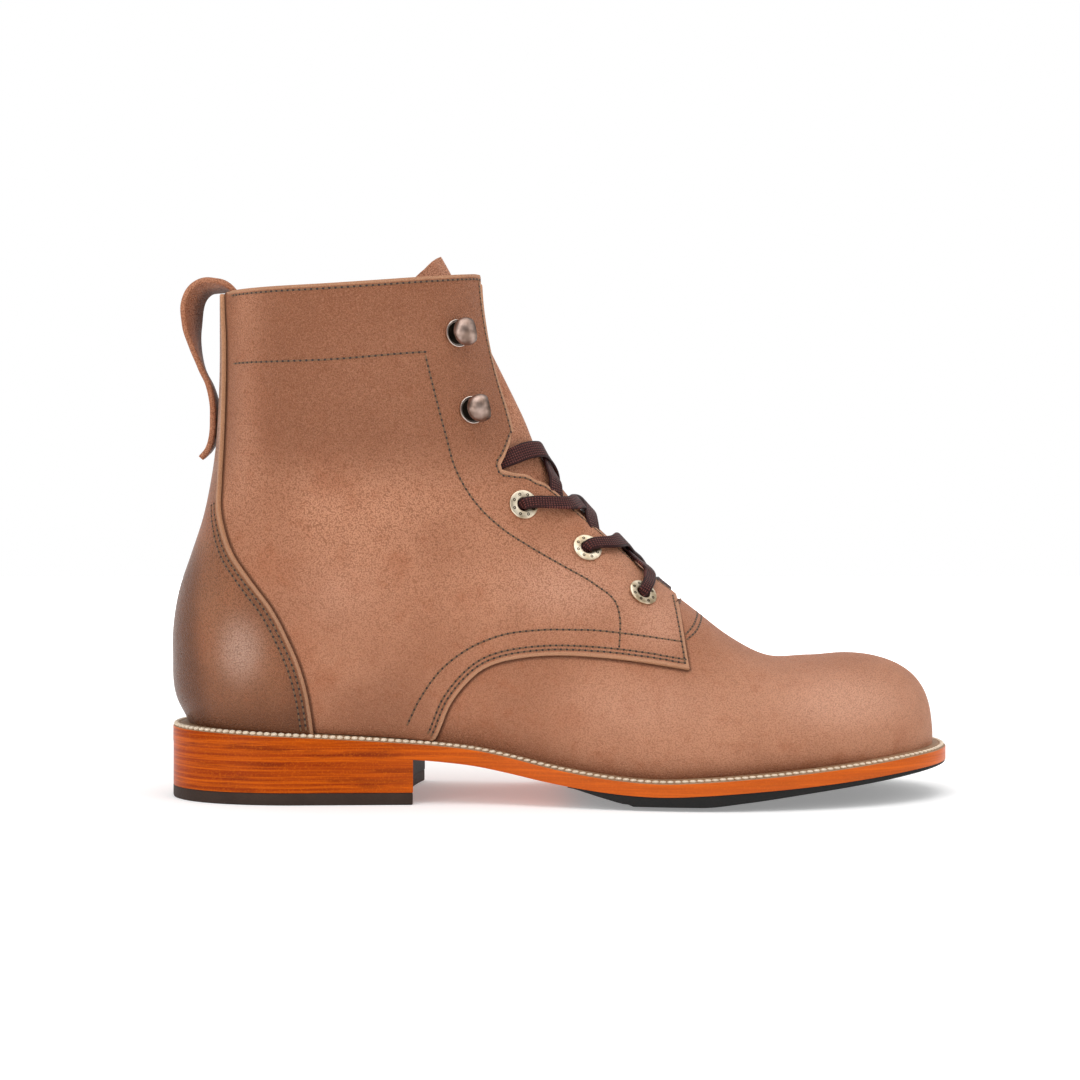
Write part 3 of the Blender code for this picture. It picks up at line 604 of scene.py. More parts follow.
def over_throat(z, y, clear):
    """Point over the throat at a ridge height and place across, and the way out there."""
    side = MEDIAL if y >= 0 else LATERAL
    start = np.array([shaft_front(z), z])
    slope = np.array([shaft_front(z + 1) - shaft_front(z - 1), 2.0])
    outward = unit(np.array([slope[1], -slope[0]]))
    reach = np.abs(y) + np.array([0.0, -0.5, 0.5])
    depth, before, after = ridge_depth(start, -outward, np.maximum(reach, 0.0), side)
    place = start - outward * depth
    normal = unit(np.array([outward[0], side * (after - before), outward[1]]))
    middle = np.array([place[0], last_line(place[0]) + y, place[1]])
    return middle + normal * clear, normal


# Mesh tools

def select_only(*pieces):
    """Leave just these pieces selected, the first one active."""
    bpy.ops.object.select_all(action="DESELECT")
    for piece in pieces:
        piece.select_set(True)
    bpy.context.view_layer.objects.active = pieces[0]


def name_piece(piece, name):
    """Give an object and its mesh one name."""
    piece.name = name
    piece.data.name = name
    return piece


def points_of(piece):
    """Vertex places as an array."""
    flat = np.empty(len(piece.data.vertices) * 3)
    piece.data.vertices.foreach_get("co", flat)
    return flat.reshape(-1, 3)


def move_points(piece, points):
    """Put every vertex at a new place."""
    piece.data.vertices.foreach_set("co", np.ascontiguousarray(points, dtype=float).ravel())
    piece.data.update()


def normals_of(piece):
    """Vertex normals as an array."""
    flat = np.empty(len(piece.data.vertices) * 3, np.float32)
    piece.data.vertex_normals.foreach_get("vector", flat)
    return flat.reshape(-1, 3).astype(float)


def start(add, **sizes):
    """Add one primitive with nothing else selected, as the start of a piece."""
    bpy.ops.object.select_all(action="DESELECT")
    add(**sizes)
    return bpy.context.object


def lay_sheet(name, columns, rows, place, flip=False):
    """Grid laid on a surface: place gives points in millimetres for u along and v up."""
    grid = start(bpy.ops.mesh.primitive_grid_add, x_subdivisions=columns, y_subdivisions=rows, size=1.0)
    piece = name_piece(grid, name)
    flat = points_of(piece)
    move_points(piece, place(flat[:, 0] + 0.5, flat[:, 1] + 0.5) * MM)
    if flip:
        piece.data.flip_normals()
    return piece


def extrude_all(piece, way):
    """Extrude a piece's whole sheet along a vector in millimetres."""
    select_only(piece)
    bpy.ops.object.mode_set(mode="EDIT")
    bpy.ops.mesh.select_all(action="SELECT")
    bpy.ops.mesh.extrude_region_move(TRANSFORM_OT_translate={"value": [step * MM for step in way]})
    bpy.ops.object.mode_set(mode="OBJECT")


def face_out(piece, weld=0.0):
    """Weld the vertices nearer than a distance in millimetres, and turn every face outward."""
    select_only(piece)
    bpy.ops.object.mode_set(mode="EDIT")
    bpy.ops.mesh.select_all(action="SELECT")
    if weld:
        bpy.ops.mesh.remove_doubles(threshold=weld * MM)
    bpy.ops.mesh.normals_make_consistent(inside=False)
    bpy.ops.object.mode_set(mode="OBJECT")


def join(name, pieces, distance=0.03):
    """Join sheets into one piece and weld the edges that meet."""
    select_only(*pieces)
    bpy.ops.object.join()
    piece = name_piece(bpy.context.object, name)
    bpy.ops.object.mode_set(mode="EDIT")
    bpy.ops.mesh.select_all(action="SELECT")
    bpy.ops.mesh.remove_doubles(threshold=distance * MM)
    bpy.ops.object.mode_set(mode="OBJECT")
    return piece


def raise_sheet(piece, height):
    """Move a sheet out along its normals by a height in millimetres."""
    height = np.broadcast_to(np.asarray(height, float), len(piece.data.vertices))
    move_points(piece, points_of(piece) + normals_of(piece) * height[:, None] * MM)


def paint(piece, name, values):
    """Store a number on each vertex for the piece's finish to read."""
    layer = piece.data.attributes.new(name, "FLOAT", "POINT")
    layer.data.foreach_set("value", np.ascontiguousarray(values, dtype=np.float32))


def apply_all(piece):
    """Apply every modifier in turn."""
    select_only(piece)
    for modifier in list(piece.modifiers):
        bpy.ops.object.modifier_apply(modifier=modifier.name)


def add_wall(piece, thickness):
    """Thicken a sheet inward. The cut edge takes the second finish."""
    wall = piece.modifiers.new("wall", "SOLIDIFY")
    wall.thickness = thickness * MM
    wall.offset = -1.0
    wall.material_offset_rim = 1


def give_wall(piece, thickness, edge=0.35):
    """Thicken a sheet inward and round its cut edges."""
    add_wall(piece, thickness)
    round_edges(piece, edge, 2, 50)
    apply_all(piece)


def round_edges(piece, width, segments=2, angle=40):
    """Bevel the sharp edges."""
    bevel = piece.modifiers.new("round_edges", "BEVEL")
    bevel.width = width * MM
    bevel.segments = segments
    bevel.limit_method = "ANGLE"
    bevel.angle_limit = math.radians(angle)


def coat(piece, *finishes):
    """Give a piece its finishes, in the order of its material slots."""
    for finish in finishes:
        piece.data.materials.append(finish)


def finish_piece(piece, replaces=(), angle=45):
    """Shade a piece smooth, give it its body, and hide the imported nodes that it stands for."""
    select_only(piece)
    bpy.ops.object.shade_smooth_by_angle(angle=math.radians(angle))
    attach(piece, BODY)
    if replaces:
        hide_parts(*replaces)
    return piece


def line_through(points, pitch):
    """Smooth line through points, with places a pitch apart along it."""
    points = np.asarray(points, float)
    reach = run_along(points)
    fine = smooth_rows(np.linspace(0, reach[-1], 40 * len(points)), reach, points)
    length = run_along(fine)
    count = max(int(round(length[-1] / pitch)), 1) + 1
    return read_off(np.linspace(0, length[-1], count), length, fine)


# Shader tools

class Value:
    """A shader socket whose operators add Math nodes."""

    def __init__(self, finish, socket):
        self.finish = finish
        self.socket = socket

    def math(self, operation, first, second):
        return self.finish.node("ShaderNodeMath", {"operation": operation}, {0: first, 1: second})

    def __add__(self, other):
        return self.math("ADD", self, other)

    def __sub__(self, other):
        return self.math("SUBTRACT", self, other)

    def __rsub__(self, other):
        return self.math("SUBTRACT", other, self)

    def __mul__(self, other):
        return self.math("MULTIPLY", self, other)

    __radd__ = __add__
    __rmul__ = __mul__


class Finish:
    """A material with one Principled shader, built from nodes."""

    def __init__(self, name):
        self.material = bpy.data.materials.new(name)
        self.material.use_nodes = True
        self.tree = self.material.node_tree
        self.shader = self.tree.nodes["Principled BSDF"]

    def put(self, socket, value):
        """Link a value to a socket, or set the socket."""
        if isinstance(value, Value):
            self.tree.links.new(value.socket, socket)
        elif isinstance(value, tuple) and len(value) == 3 and socket.type == "RGBA":
            socket.default_value = (*value, 1.0)
        else:
            socket.default_value = value

    def node(self, kind, settings=None, sockets=None, output=0):
        """Add a node with its settings, then its sockets, and return one output."""
        made = self.tree.nodes.new(kind)
        for key, value in (settings or {}).items():
            setattr(made, key, value)
        for key, value in (sockets or {}).items():
            self.put(made.inputs[key], value)
        return Value(self, made.outputs[output])

    def mix(self, factor, first, second):
        """Blend two colours."""
        return self.node("ShaderNodeMix", {"data_type": "RGBA"}, {0: factor, 6: first, 7: second}, 2)

    def between(self, value, low, high):
        """Smooth step of a value between two limits."""
        limits = {"Value": value, "From Min": low, "From Max": high}
        return self.node("ShaderNodeMapRange", {"interpolation_type": "SMOOTHSTEP"}, limits)

    def place(self):
        """Place on the object, in metres."""
        return self.node("ShaderNodeTexCoord", output="Object")

    def uv(self):
        """Place on the piece's own map."""
        return self.node("ShaderNodeTexCoord", output="UV")

    def stretched(self, scale):
        """Place scaled by a different amount along each axis."""
        return self.node("ShaderNodeMapping", None, {"Vector": self.place(), "Scale": scale})

    def noise(self, scale, detail=2.0, where=None, rough=0.5):
        """Noise with about this many features to the metre."""
        sockets = {"Vector": where or self.place(), "Scale": scale, "Detail": detail, "Roughness": rough}
        return self.node("ShaderNodeTexNoise", None, sockets, "Fac")

    def cells(self, scale):
        """Distance to the nearest of many scattered points."""
        sockets = {"Vector": self.place(), "Scale": scale}
        return self.node("ShaderNodeTexVoronoi", None, sockets, "Distance")

    def painted(self, name):
        """Number stored on the piece's vertices."""
        return self.node("ShaderNodeAttribute", {"attribute_name": name}, None, "Fac")

    def bump(self, height, distance):
        """Fine relief: a height from 0 to 1 over a distance in metres."""
        sockets = {"Height": height, "Distance": distance, "Strength": 1.0}
        return self.node("ShaderNodeBump", None, sockets, "Normal")

    def set(self, **sockets):
        """Set or link the shader's own sockets, named with underscores for spaces."""
        for key, value in sockets.items():
            self.put(self.shader.inputs[key.replace("_", " ")], value)
        return self.material


# Finishes

TAN_LIGHT = (0.556, 0.256, 0.147)
TAN = (0.400, 0.164, 0.086)
TAN_WARM = (0.358, 0.114, 0.047)
TAN_DEEP = (0.180, 0.058, 0.022)
# Colour of the painted highlights, and of stretched leather
TAN_HIGHLIGHT = (0.700, 0.374, 0.252)


def waxed_leather(name, light=TAN_LIGHT, middle=TAN, deep=TAN_DEEP, soft=TAN_HIGHLIGHT, gloss=0.5):
    """Pull-up leather: cloudy colour, fine pebbled grain, pale where stretched and where highlights are
    painted, darker where painted dark (painted shade low on the boot), and a painted shadow along the edge of
    the panel above.
    """
    f = Finish(name)
    height = f.node("ShaderNodeSeparateXYZ", None, {0: f.place()}, "Z")
    coarse = f.between(height, 0.03, 0.12) * 0.32 + 0.36
    cloud = f.noise(24.0, 3.0)
    patch = f.noise(48.0, 4.0)
    mottle = f.noise(190.0, 3.0)
    grain = f.cells(1900.0)
    speck = f.noise(1900.0, 2.0)
    pale = f.painted("pale")
    dark = f.painted("dark")
    colour = f.mix(f.between(cloud, 0.3, 0.7), middle, light)
    colour = f.mix(f.between(patch, 0.48, 0.72) * 0.5, colour, TAN_WARM)
    colour = f.mix(f.between(mottle, 0.5, 0.8) * 0.4, colour, TAN_WARM)
    # Painted highlight: the pale number mixes in the soft colour.
    colour = f.mix(f.between(pale, 0.0, 1.0) * 0.7, colour, soft)
    # Darker where painted dark; low on the boot by the welt this is painted shade.
    colour = f.mix(f.between(dark, 0.0, 1.0) * 0.85, colour, deep)
    colour = f.mix(f.between(grain, 0.35, 0.75) * coarse, colour, deep)
    colour = f.mix(f.between(speck, 0.48, 0.66) * 0.24, colour, light)
    rim = 1.0 - f.between(f.painted("edge"), 0.8, 1.5)
    colour = f.mix(rim * 0.65, colour, (0.50, 0.265, 0.150))
    shadow = 1.0 - f.between(f.painted("gap"), 0.4, 1.6)
    colour = f.mix(shadow * 0.72, colour, (0.050, 0.018, 0.008))
    relief = speck * 0.7 - grain * 0.9 + mottle * 0.9
    rough = gloss + 0.1 * mottle + 0.08 * speck - 0.12 * dark
    return f.set(
        Base_Color=colour,
        Roughness=rough,
        Normal=f.bump(relief, 0.0003),
        Specular_IOR_Level=0.24,
    )


def raw_edge():
    """Cut edge of the leather, paler and fibrous."""
    f = Finish("raw_leather_edge")
    fibre = f.noise(1600.0, 3.0)
    colour = f.mix(fibre, (0.32, 0.135, 0.062), (0.62, 0.325, 0.175))
    return f.set(Base_Color=colour, Roughness=0.8, Normal=f.bump(fibre, 0.0002))


def lining_leather():
    """Plain vegetable lining."""
    f = Finish("lining_leather")
    cloud = f.noise(40.0, 3.0)
    speck = f.noise(1200.0, 2.0)
    colour = f.mix(cloud, (0.42, 0.24, 0.13), (0.56, 0.36, 0.21))
    colour = f.mix(f.between(speck, 0.5, 0.75) * 0.2, colour, (0.26, 0.14, 0.07))
    return f.set(Base_Color=colour, Roughness=0.7, Normal=f.bump(speck, 0.0001))


def sole_edge():
    """Dyed and polished sole leather with streaks along the edge."""
    f = Finish("polished_sole_edge")
    forward = f.node("ShaderNodeSeparateXYZ", None, {0: f.place()}, "X")
    streak = f.noise(1.0, 5.0, f.stretched((9.0, 9.0, 900.0)))
    fine = f.noise(1.0, 4.0, f.stretched((60.0, 60.0, 3200.0)))
    smear = f.noise(1.0, 4.0, f.stretched((26.0, 26.0, 300.0)), 0.65)
    speck = f.noise(1500.0, 2.0)
    colour = f.mix(f.between(streak, 0.3, 0.7), (0.30, 0.032, 0.000), (0.62, 0.108, 0.001))
    colour = f.mix(f.between(smear, 0.5, 0.66) * 0.62, colour, (0.13, 0.011, 0.000))
    colour = f.mix(f.between(fine, 0.45, 0.7) * 0.6, colour, (0.21, 0.020, 0.000))
    colour = f.mix(f.between(speck, 0.5, 0.7) * 0.3, colour, (0.70, 0.15, 0.004))
    colour = f.mix(f.between(forward, -0.09, 0.0) * 0.5, colour, (0.80, 0.165, 0.026))
    relief = fine * 0.5 + speck * 0.5
    return f.set(
        Base_Color=colour,
        Roughness=0.26 + 0.16 * speck,
        Specular_IOR_Level=0.09,
        Normal=f.bump(relief, 0.00012),
    )


def welt_leather():
    """Natural welt, pale and a little soiled."""
    f = Finish("natural_welt")
    cloud = f.noise(90.0, 3.0)
    speck = f.noise(1300.0, 2.0)
    colour = f.mix(cloud, (0.22, 0.115, 0.055), (0.40, 0.24, 0.13))
    colour = f.mix(f.between(speck, 0.55, 0.75) * 0.4, colour, (0.14, 0.07, 0.03))
    return f.set(Base_Color=colour, Roughness=0.65, Normal=f.bump(speck, 0.0002))


def rubber(name, shade_low, shade_high):
    """Matt rubber with a fine cast texture."""
    f = Finish(name)
    speck = f.noise(1100.0, 3.0)
    cloud = f.noise(120.0, 3.0)
    colour = f.mix(cloud * 0.6 + speck * 0.4, shade_low, shade_high)
    return f.set(
        Base_Color=colour,
        Roughness=0.55 + 0.25 * speck,
        Specular_IOR_Level=0.25,
        Normal=f.bump(speck, 0.00015),
    )


def thread(name, low, high):
    """Waxed sewing thread."""
    f = Finish(name)
    twist = f.noise(2400.0, 2.0)
    return f.set(Base_Color=f.mix(twist, low, high), Roughness=0.6, Normal=f.bump(twist, 0.0001))


def antique_metal(name, low, high, rough):
    """Plated metal, lightly brushed, and darker where a piece paints a shade on it, as on the hook cap's lip
    by its bite.
    """
    f = Finish(name)
    cloud = f.noise(220.0, 2.0)
    scratch = f.noise(1.0, 2.0, f.stretched((900.0, 900.0, 5200.0)))
    colour = f.mix(f.between(cloud, 0.3, 0.7), low, high)
    # Painted shade where the piece paints it
    colour = f.mix(f.painted("cap_lip_shade"), colour, (0.05, 0.032, 0.024))
    return f.set(
        Base_Color=colour,
        Metallic=1.0,
        Roughness=rough + 0.15 * cloud,
        Normal=f.bump(scratch, 0.00002),
    )


def lace_weave():
    """Flat woven lace: rows of small raised threads over and under, waxed."""
    f = Finish("waxed_lace")
    wave = {"wave_type": "BANDS", "bands_direction": "X"}
    across = f.node("ShaderNodeTexWave", wave, {"Vector": f.uv(), "Scale": 0.27, "Distortion": 0.3}, "Fac")
    wave = {"wave_type": "BANDS", "bands_direction": "Y"}
    along = f.node("ShaderNodeTexWave", wave, {"Vector": f.uv(), "Scale": 0.30, "Distortion": 0.3}, "Fac")
    weave = across * along
    glint_fleck = f.noise(900.0, 2.0)
    colour = f.mix(f.between(weave, 0.05, 0.7), (0.022, 0.004, 0.004), (0.160, 0.046, 0.038))
    # Painted glints: lighter flecks over the weave
    colour = f.mix(f.between(glint_fleck, 0.55, 0.8) * 0.3, colour, (0.15, 0.055, 0.048))
    return f.set(
        Base_Color=colour,
        Roughness=0.42 + 0.2 * glint_fleck,
        Specular_IOR_Level=0.18,
        Normal=f.bump(weave, 0.0004),
    )


def plain_floor():
    """White studio sweep that glows: weakly round the boot, which deepens the shade there, and fully away
    from it, so it stays bright.
    """
    f = Finish("studio_white")
    reach = f.node("ShaderNodeVectorMath", {"operation": "LENGTH"}, {0: f.place()}, "Value")
    return f.set(
        Base_Color=(0.86, 0.86, 0.86),
        Roughness=0.9,
        Specular_IOR_Level=0.1,
        Emission_Color=f.mix(f.between(reach, 0.25, 0.8), (0.26, 0.26, 0.26), (1.0, 1.0, 1.0)),
        Emission_Strength=1.0,
    )


def plain_backdrop():
    """Evenly lit white backdrop."""
    f = Finish("studio_backdrop")
    return f.set(
        Base_Color=(0.0, 0.0, 0.0),
        Roughness=1.0,
        Specular_IOR_Level=0.0,
        Emission_Color=(1.0, 1.0, 1.0),
        Emission_Strength=1.0,
    )


LEATHER_FINISH = waxed_leather("tan_leather")
COUNTER_FINISH = waxed_leather(
    "counter_leather",
    light=(0.34, 0.140, 0.068),
    middle=(0.232, 0.082, 0.034),
    deep=(0.094, 0.029, 0.009),
    # Painted sheen of the counter
    soft=(0.57, 0.365, 0.28),
    gloss=0.32,
)
RAW_EDGE = raw_edge()
LINING_FINISH = lining_leather()
SOLE_EDGE = sole_edge()
WELT_FINISH = welt_leather()
BLACK_RUBBER = rubber("black_rubber", (0.006, 0.006, 0.006), (0.020, 0.019, 0.018))
BROWN_RUBBER = rubber("brown_rubber", (0.024, 0.013, 0.009), (0.058, 0.034, 0.024))
# Dark finish on the heel's breast: painted shade under the arch
BREAST_SHADE = rubber("heel_breast_painted_shade", (0.018, 0.016, 0.016), (0.050, 0.046, 0.046))
BROWN_THREAD = thread("brown_thread", (0.10, 0.048, 0.020), (0.23, 0.115, 0.052))
CREAM_THREAD = thread("cream_thread", (0.62, 0.47, 0.33), (0.90, 0.78, 0.62))
# Near-black beads: painted shade inside each needle hole
NEEDLE_HOLE_SHADE = thread("needle_hole", (0.012, 0.006, 0.004), (0.030, 0.014, 0.009))
EYELET_METAL = antique_metal("antique_brass", (0.42, 0.32, 0.20), (0.84, 0.74, 0.58), 0.28)
HOOK_METAL = antique_metal("antique_bronze", (0.20, 0.135, 0.105), (0.46, 0.34, 0.29), 0.30)
HOOK_RIM = antique_metal("bright_hook_rim", (0.62, 0.52, 0.46), (0.88, 0.79, 0.72), 0.25)
# Dark metal: patina of the eyelets' punched dots, and painted shade under the hook's cap
METAL_PATINA_AND_SHADE = antique_metal("dark_patina_and_shade", (0.02, 0.014, 0.010), (0.07, 0.05, 0.035), 0.45)
LACE_FINISH = lace_weave()


# Panels of the upper

def quarter_edges(side):
    """Lower and top edges of a quarter as smooth curves over the rib number."""
    number = np.arange(len(QUARTER_RIBS))
    foot_x = np.array([rib.foot_x for rib in QUARTER_RIBS])
    foot_z = np.array([feather_z(rib.foot_x) if rib.foot_z is None else rib.foot_z for rib in QUARTER_RIBS])
    top = []
    for rib in QUARTER_RIBS:
        if rib.top_x is None:
            top.append((float(throat_x(rib.top_z, throat_gap(rib.top_z), side)), rib.top_z))
        elif rib.top_z is None:
            top.append((rib.top_x, float(collar_z(rib.top_x))))
        else:
            top.append((rib.top_x, rib.top_z))
    top = np.array(top)
    columns = (foot_x, foot_z, top[:, 0], top[:, 1])
    return [through(number, column) for column in columns]


swoop_rows = np.linspace(SWOOP_RIB, len(QUARTER_RIBS) - 1, 160)
swoop_x, swoop_z, _, _ = quarter_edges(LATERAL)
SWOOP = np.stack([swoop_x(swoop_rows), swoop_z(swoop_rows)], axis=-1)
FRONT_END = np.linspace(SWOOP[-1], QUARTER_RIBS[-1][2:], 40)
FRONT_EDGE = np.concatenate([SWOOP, FRONT_END[1:]])


def before_quarter(x, z):
    """Distance in front of the quarter's edge on the side view, less than zero over the quarter."""
    way = np.gradient(FRONT_EDGE, axis=0)
    gap = np.stack([x, z], axis=-1)[:, None, :] - FRONT_EDGE
    length = np.sqrt((gap**2).sum(-1))
    near = length.argmin(-1)
    step = gap[np.arange(len(x)), near]
    turn = way[near, 0] * step[:, 1] - way[near, 1] * step[:, 0]
    return np.where(turn > 0, -1.0, 1.0) * length.min(-1)


def before_counter(x, z):
    """Distance in front of the counter's edge on the side view, less than zero under the counter."""
    slope = counter_x(z + 0.5) - counter_x(z - 0.5)
    return (x - counter_x(z)) / np.sqrt(1 + slope**2)


def quarter_lift(x, z):
    """How far a quarter stands off the last: a full step over the vamp, less behind it."""
    return 0.2 + SEAM_STEP * np.exp(-((before_quarter(x, z) / SEAM_FADE) ** 2))


def shaft_folds(x, z):
    """Height of the soft hollows and swells of the standing leather, in millimetres."""
    total = np.zeros_like(x)
    for fold in SHAFT_FOLDS:
        along = (x - fold.x) * math.cos(fold.lean) + (z - fold.z) * math.sin(fold.lean)
        across = (z - fold.z) * math.cos(fold.lean) - (x - fold.x) * math.sin(fold.lean)
        total += fold.depth * np.exp(-((along / fold.long) ** 2) - (across / fold.wide) ** 2)
    return total


def quarter_face(x, z):
    """How far the outside of a quarter stands off the last, folds included."""
    return quarter_lift(x, z) + shaft_folds(x, z)


def on_ribs(side, t, climb):
    """Place on the side view of a quarter, from a rib number and the share of the way up that rib."""
    foot_x, foot_z, top_x, top_z = quarter_edges(side)
    back = np.clip(1 - t / COLLAR_RIB, 0, 1) ** 2
    straight = foot_x(0.0) + (top_x(0.0) - foot_x(0.0)) * climb
    bow = RIB_BOW * np.exp(-(((t - BOW_RIB) / BOW_SPREAD) ** 2)) * 7 * climb * (1 - climb) ** 2
    z = foot_z(t) + (top_z(t) - foot_z(t)) * climb
    x = foot_x(t) + (top_x(t) - foot_x(t)) * climb + back * (shaft_back(z) - straight) + bow
    return x, z


def soft_spots(spots, x, z):
    """Strength of some soft spots of the side view at each place, added up."""
    total = np.zeros_like(x)
    for spot in spots:
        total += spot.strength * np.exp(-(((x - spot.x) / spot.long) ** 2) - ((z - spot.z) / spot.tall) ** 2)
    return total


def from_welt(x, z, fade):
    """Strength that falls away upward from the feather edge."""
    return np.exp(-(np.maximum(z - feather_z(x), 0) / fade))


def side_view(piece):
    """X and Z of every vertex, in millimetres."""
    x, _, z = (points_of(piece) / MM).T
    return x, z


def near_points(lines):
    """Search tree of the points of some lines."""
    points = np.concatenate(lines)
    tree = KDTree(len(points))
    for index, point in enumerate(points):
        tree.insert(point, index)
    tree.balance()
    return tree


def distance_to(piece, lines):
    """Distance of every vertex from some lines, in millimetres."""
    tree = near_points(lines)
    return np.array([tree.find(point)[2] for point in points_of(piece) / MM])


def side_paint(piece, pale, dark, edge=FAR, gap=FAR):
    """Paint a panel's pale and dark parts, its distance to its own edge, and its gap, the distance to the
    panel above; the finish paints a shadow where the gap is small, and the pull loop's inner face is given
    gaps for painted shade.
    """
    count = len(piece.data.vertices)
    paint(piece, "pale", np.broadcast_to(np.clip(pale, 0, 1), count))
    paint(piece, "dark", np.broadcast_to(np.clip(dark, 0, 1), count))
    paint(piece, "edge", np.broadcast_to(edge, count))
    paint(piece, "gap", np.broadcast_to(gap, count))


def on_upper(line, side):
    """Line of the side view laid on the upper, with close points."""
    dense = line_through(line, 0.4)
    return upper_point(dense[:, 0], dense[:, 1], side)


def facing_line(side):
    """Throat edge of a quarter: upper facing, notch and lower facing."""
    _, _, top_x, top_z = quarter_edges(side)
    upper = np.linspace(COLLAR_RIB + 0.6, NOTCH_RIB - 2.0, 90)
    lower = np.linspace(NOTCH_RIB + 1.6, len(QUARTER_RIBS) - 1.25, 90)
    return line_through(np.concatenate([
        np.stack([top_x(upper), top_z(upper)], axis=-1),
        np.array(NOTCH[1:7]),
        np.stack([top_x(lower), top_z(lower)], axis=-1),
    ]), 0.8)


def counter_line(side):
    """Front edge of the counter and backstay, laid on the upper."""
    z = np.linspace(float(feather_z(-92.0)), 192.0, 120)
    return on_upper(np.stack([counter_x(z), z], axis=-1), side)


def quarter_rim(side):
    """Cut edges of a quarter that show: front curve, front end, throat and collar."""
    _, _, top_x, top_z = quarter_edges(side)
    collar = np.linspace(1.0, COLLAR_RIB, 60)
    lines = (SWOOP, FRONT_END, facing_line(side), np.stack([top_x(collar), top_z(collar)], axis=-1))
    return [on_upper(line, side) for line in lines]


def build_quarter(side):
    """One quarter: shaft, facing and the curved front that is sewn over the vamp."""
    last = len(QUARTER_RIBS) - 1

    def place(u, v):
        arch = eased((u * last - COLLAR_RIB) / 6)
        climb = v + 0.6 * arch * (np.sin(v * math.pi / 2) - v)
        x, z = on_ribs(side, u * last, climb)
        points = upper_point(x, np.maximum(z, feather_z(x) - TUCK_UNDER), side)
        points[u < 1e-6, 1] = 0.0
        return points

    piece = lay_sheet(f"quarter_{SIDE_NAMES[side]}", 186, 66, place, flip=side == MEDIAL)
    x, z = side_view(piece)
    edge = distance_to(piece, quarter_rim(side))
    gap = before_counter(x, z)
    raise_sheet(piece, quarter_face(x, z))
    x, z = side_view(piece)
    back_seam = 0.6 * np.exp(-(((x + 119) / 7) ** 2))
    shaft = 0.72 * eased((z - 104) / 34) * (1 - back_seam) * (1 - soft_spots(FACING_LIGHT, x, z))
    # Painted shade low by the welt, a darker shaft from about z 104 up except by the back seam and the
    # facing, and the dark spots
    dark = 0.45 * from_welt(x, z, 7.0) + shaft + soft_spots(QUARTER_DARK, x, z)
    side_paint(piece, soft_spots(QUARTER_HIGHLIGHTS, x, z), dark, edge, gap)
    coat(piece, LEATHER_FINISH, RAW_EDGE)
    add_wall(piece, LEATHER)
    cut_through(piece, [notch_cutter(side), *hole_cutters(side)], (LEATHER_FINISH, RAW_EDGE))
    round_edges(piece, 0.35, 2, 50)
    apply_all(piece)
    return finish_piece(piece, ("upper",))


def hole_cutters(side):
    """Round punches for the eyelet holes."""
    cutters = []
    for fitting in EYELETS:
        cutter = start(
            bpy.ops.mesh.primitive_cylinder_add,
            vertices=32,
            radius=PUNCH_RADIUS * MM,
            depth=PUNCH_LENGTH * MM,
        )
        cutter.data.transform(frame_at(fitting, side, 0.0))
        cutters.append(cutter)
    return cutters


def notch_cutter(side):
    """Knife in the shape of the throat's notch, reaching through one side."""
    cutter = start(bpy.ops.mesh.primitive_circle_add, vertices=len(NOTCH), radius=1.0, fill_type="NGON")
    move_points(cutter, [(row.x * MM, side * MM, row.z * MM) for row in NOTCH])
    extrude_all(cutter, (0.0, side * NOTCH_DEPTH, 0.0))
    face_out(cutter)
    return cutter


def cut_through(piece, cutters, finishes):
    """Cut shapes out of a piece. The cut takes the second finish."""
    cutter = join("cutter", cutters, 0.001)
    coat(cutter, *finishes)
    for face in cutter.data.polygons:
        face.material_index = 1
    cut = piece.modifiers.new("cut", "BOOLEAN")
    cut.operation = "DIFFERENCE"
    cut.solver = "EXACT"
    cut.object = cutter
    apply_all(piece)
    bpy.data.objects.remove(cutter, do_unlink=True)


def build_vamp():
    """Vamp: the plain toe, over the ridge, with wings that run back under the quarters."""
    number = np.arange(len(VAMP_RIBS))
    foot_x = through(number, [rib.foot_x for rib in VAMP_RIBS])
    top_x = through(number, [rib.top_x for rib in VAMP_RIBS])
    heights = [float(ridge_z(rib.top_x)) if rib.top_z is None else rib.top_z for rib in VAMP_RIBS]
    top_z = through(number, heights)
    last = len(VAMP_RIBS) - 1
    halves = []
    for side in SIDES:

        def place(u, v, side=side):
            t = u * last
            arch = eased((t - VAMP_RIDGE_RIB + 3) / 3)
            climb = v + arch * (np.sin(v * math.pi / 2) - v)
            low = feather_z(foot_x(t)) - TUCK_UNDER
            x = foot_x(t) + (top_x(t) - foot_x(t)) * v
            on_ridge = t >= VAMP_RIDGE_RIB
            high = np.where(on_ridge, ridge_z(top_x(t)), top_z(t))
            z = np.maximum(low + (high - low) * climb, feather_z(x) - TUCK_UNDER)
            points = upper_point(x, z, side)
            crest = on_ridge & (v > 1 - 1e-6)
            points[crest, 1] = last_line(x[crest])
            tip = u > 1 - 1e-6
            points[tip] = (UPPER_TIP, float(last_line(UPPER_TIP)), float(feather_z(UPPER_TIP)) - TUCK_UNDER)
            return points

        halves.append(lay_sheet("vamp_half", 132, 54, place, flip=side == MEDIAL))
    piece = join("vamp", halves)
    gap = before_quarter(*side_view(piece))
    raise_sheet(piece, -VAMP_SINK * eased((-gap - 0.5) / 5.0))
    x, z = side_view(piece)
    # Painted shade low on the vamp by the welt, fading toward the toe
    dark = 0.95 * from_welt(x, z, 5.0 + 4.0 * eased((10 - x) / 40)) * eased((118 - x) / 60 + 0.35)
    side_paint(piece, soft_spots(VAMP_HIGHLIGHTS, x, z), dark, FAR, gap)
    coat(piece, LEATHER_FINISH, RAW_EDGE)
    give_wall(piece, LEATHER)
    return finish_piece(piece, ("upper",))


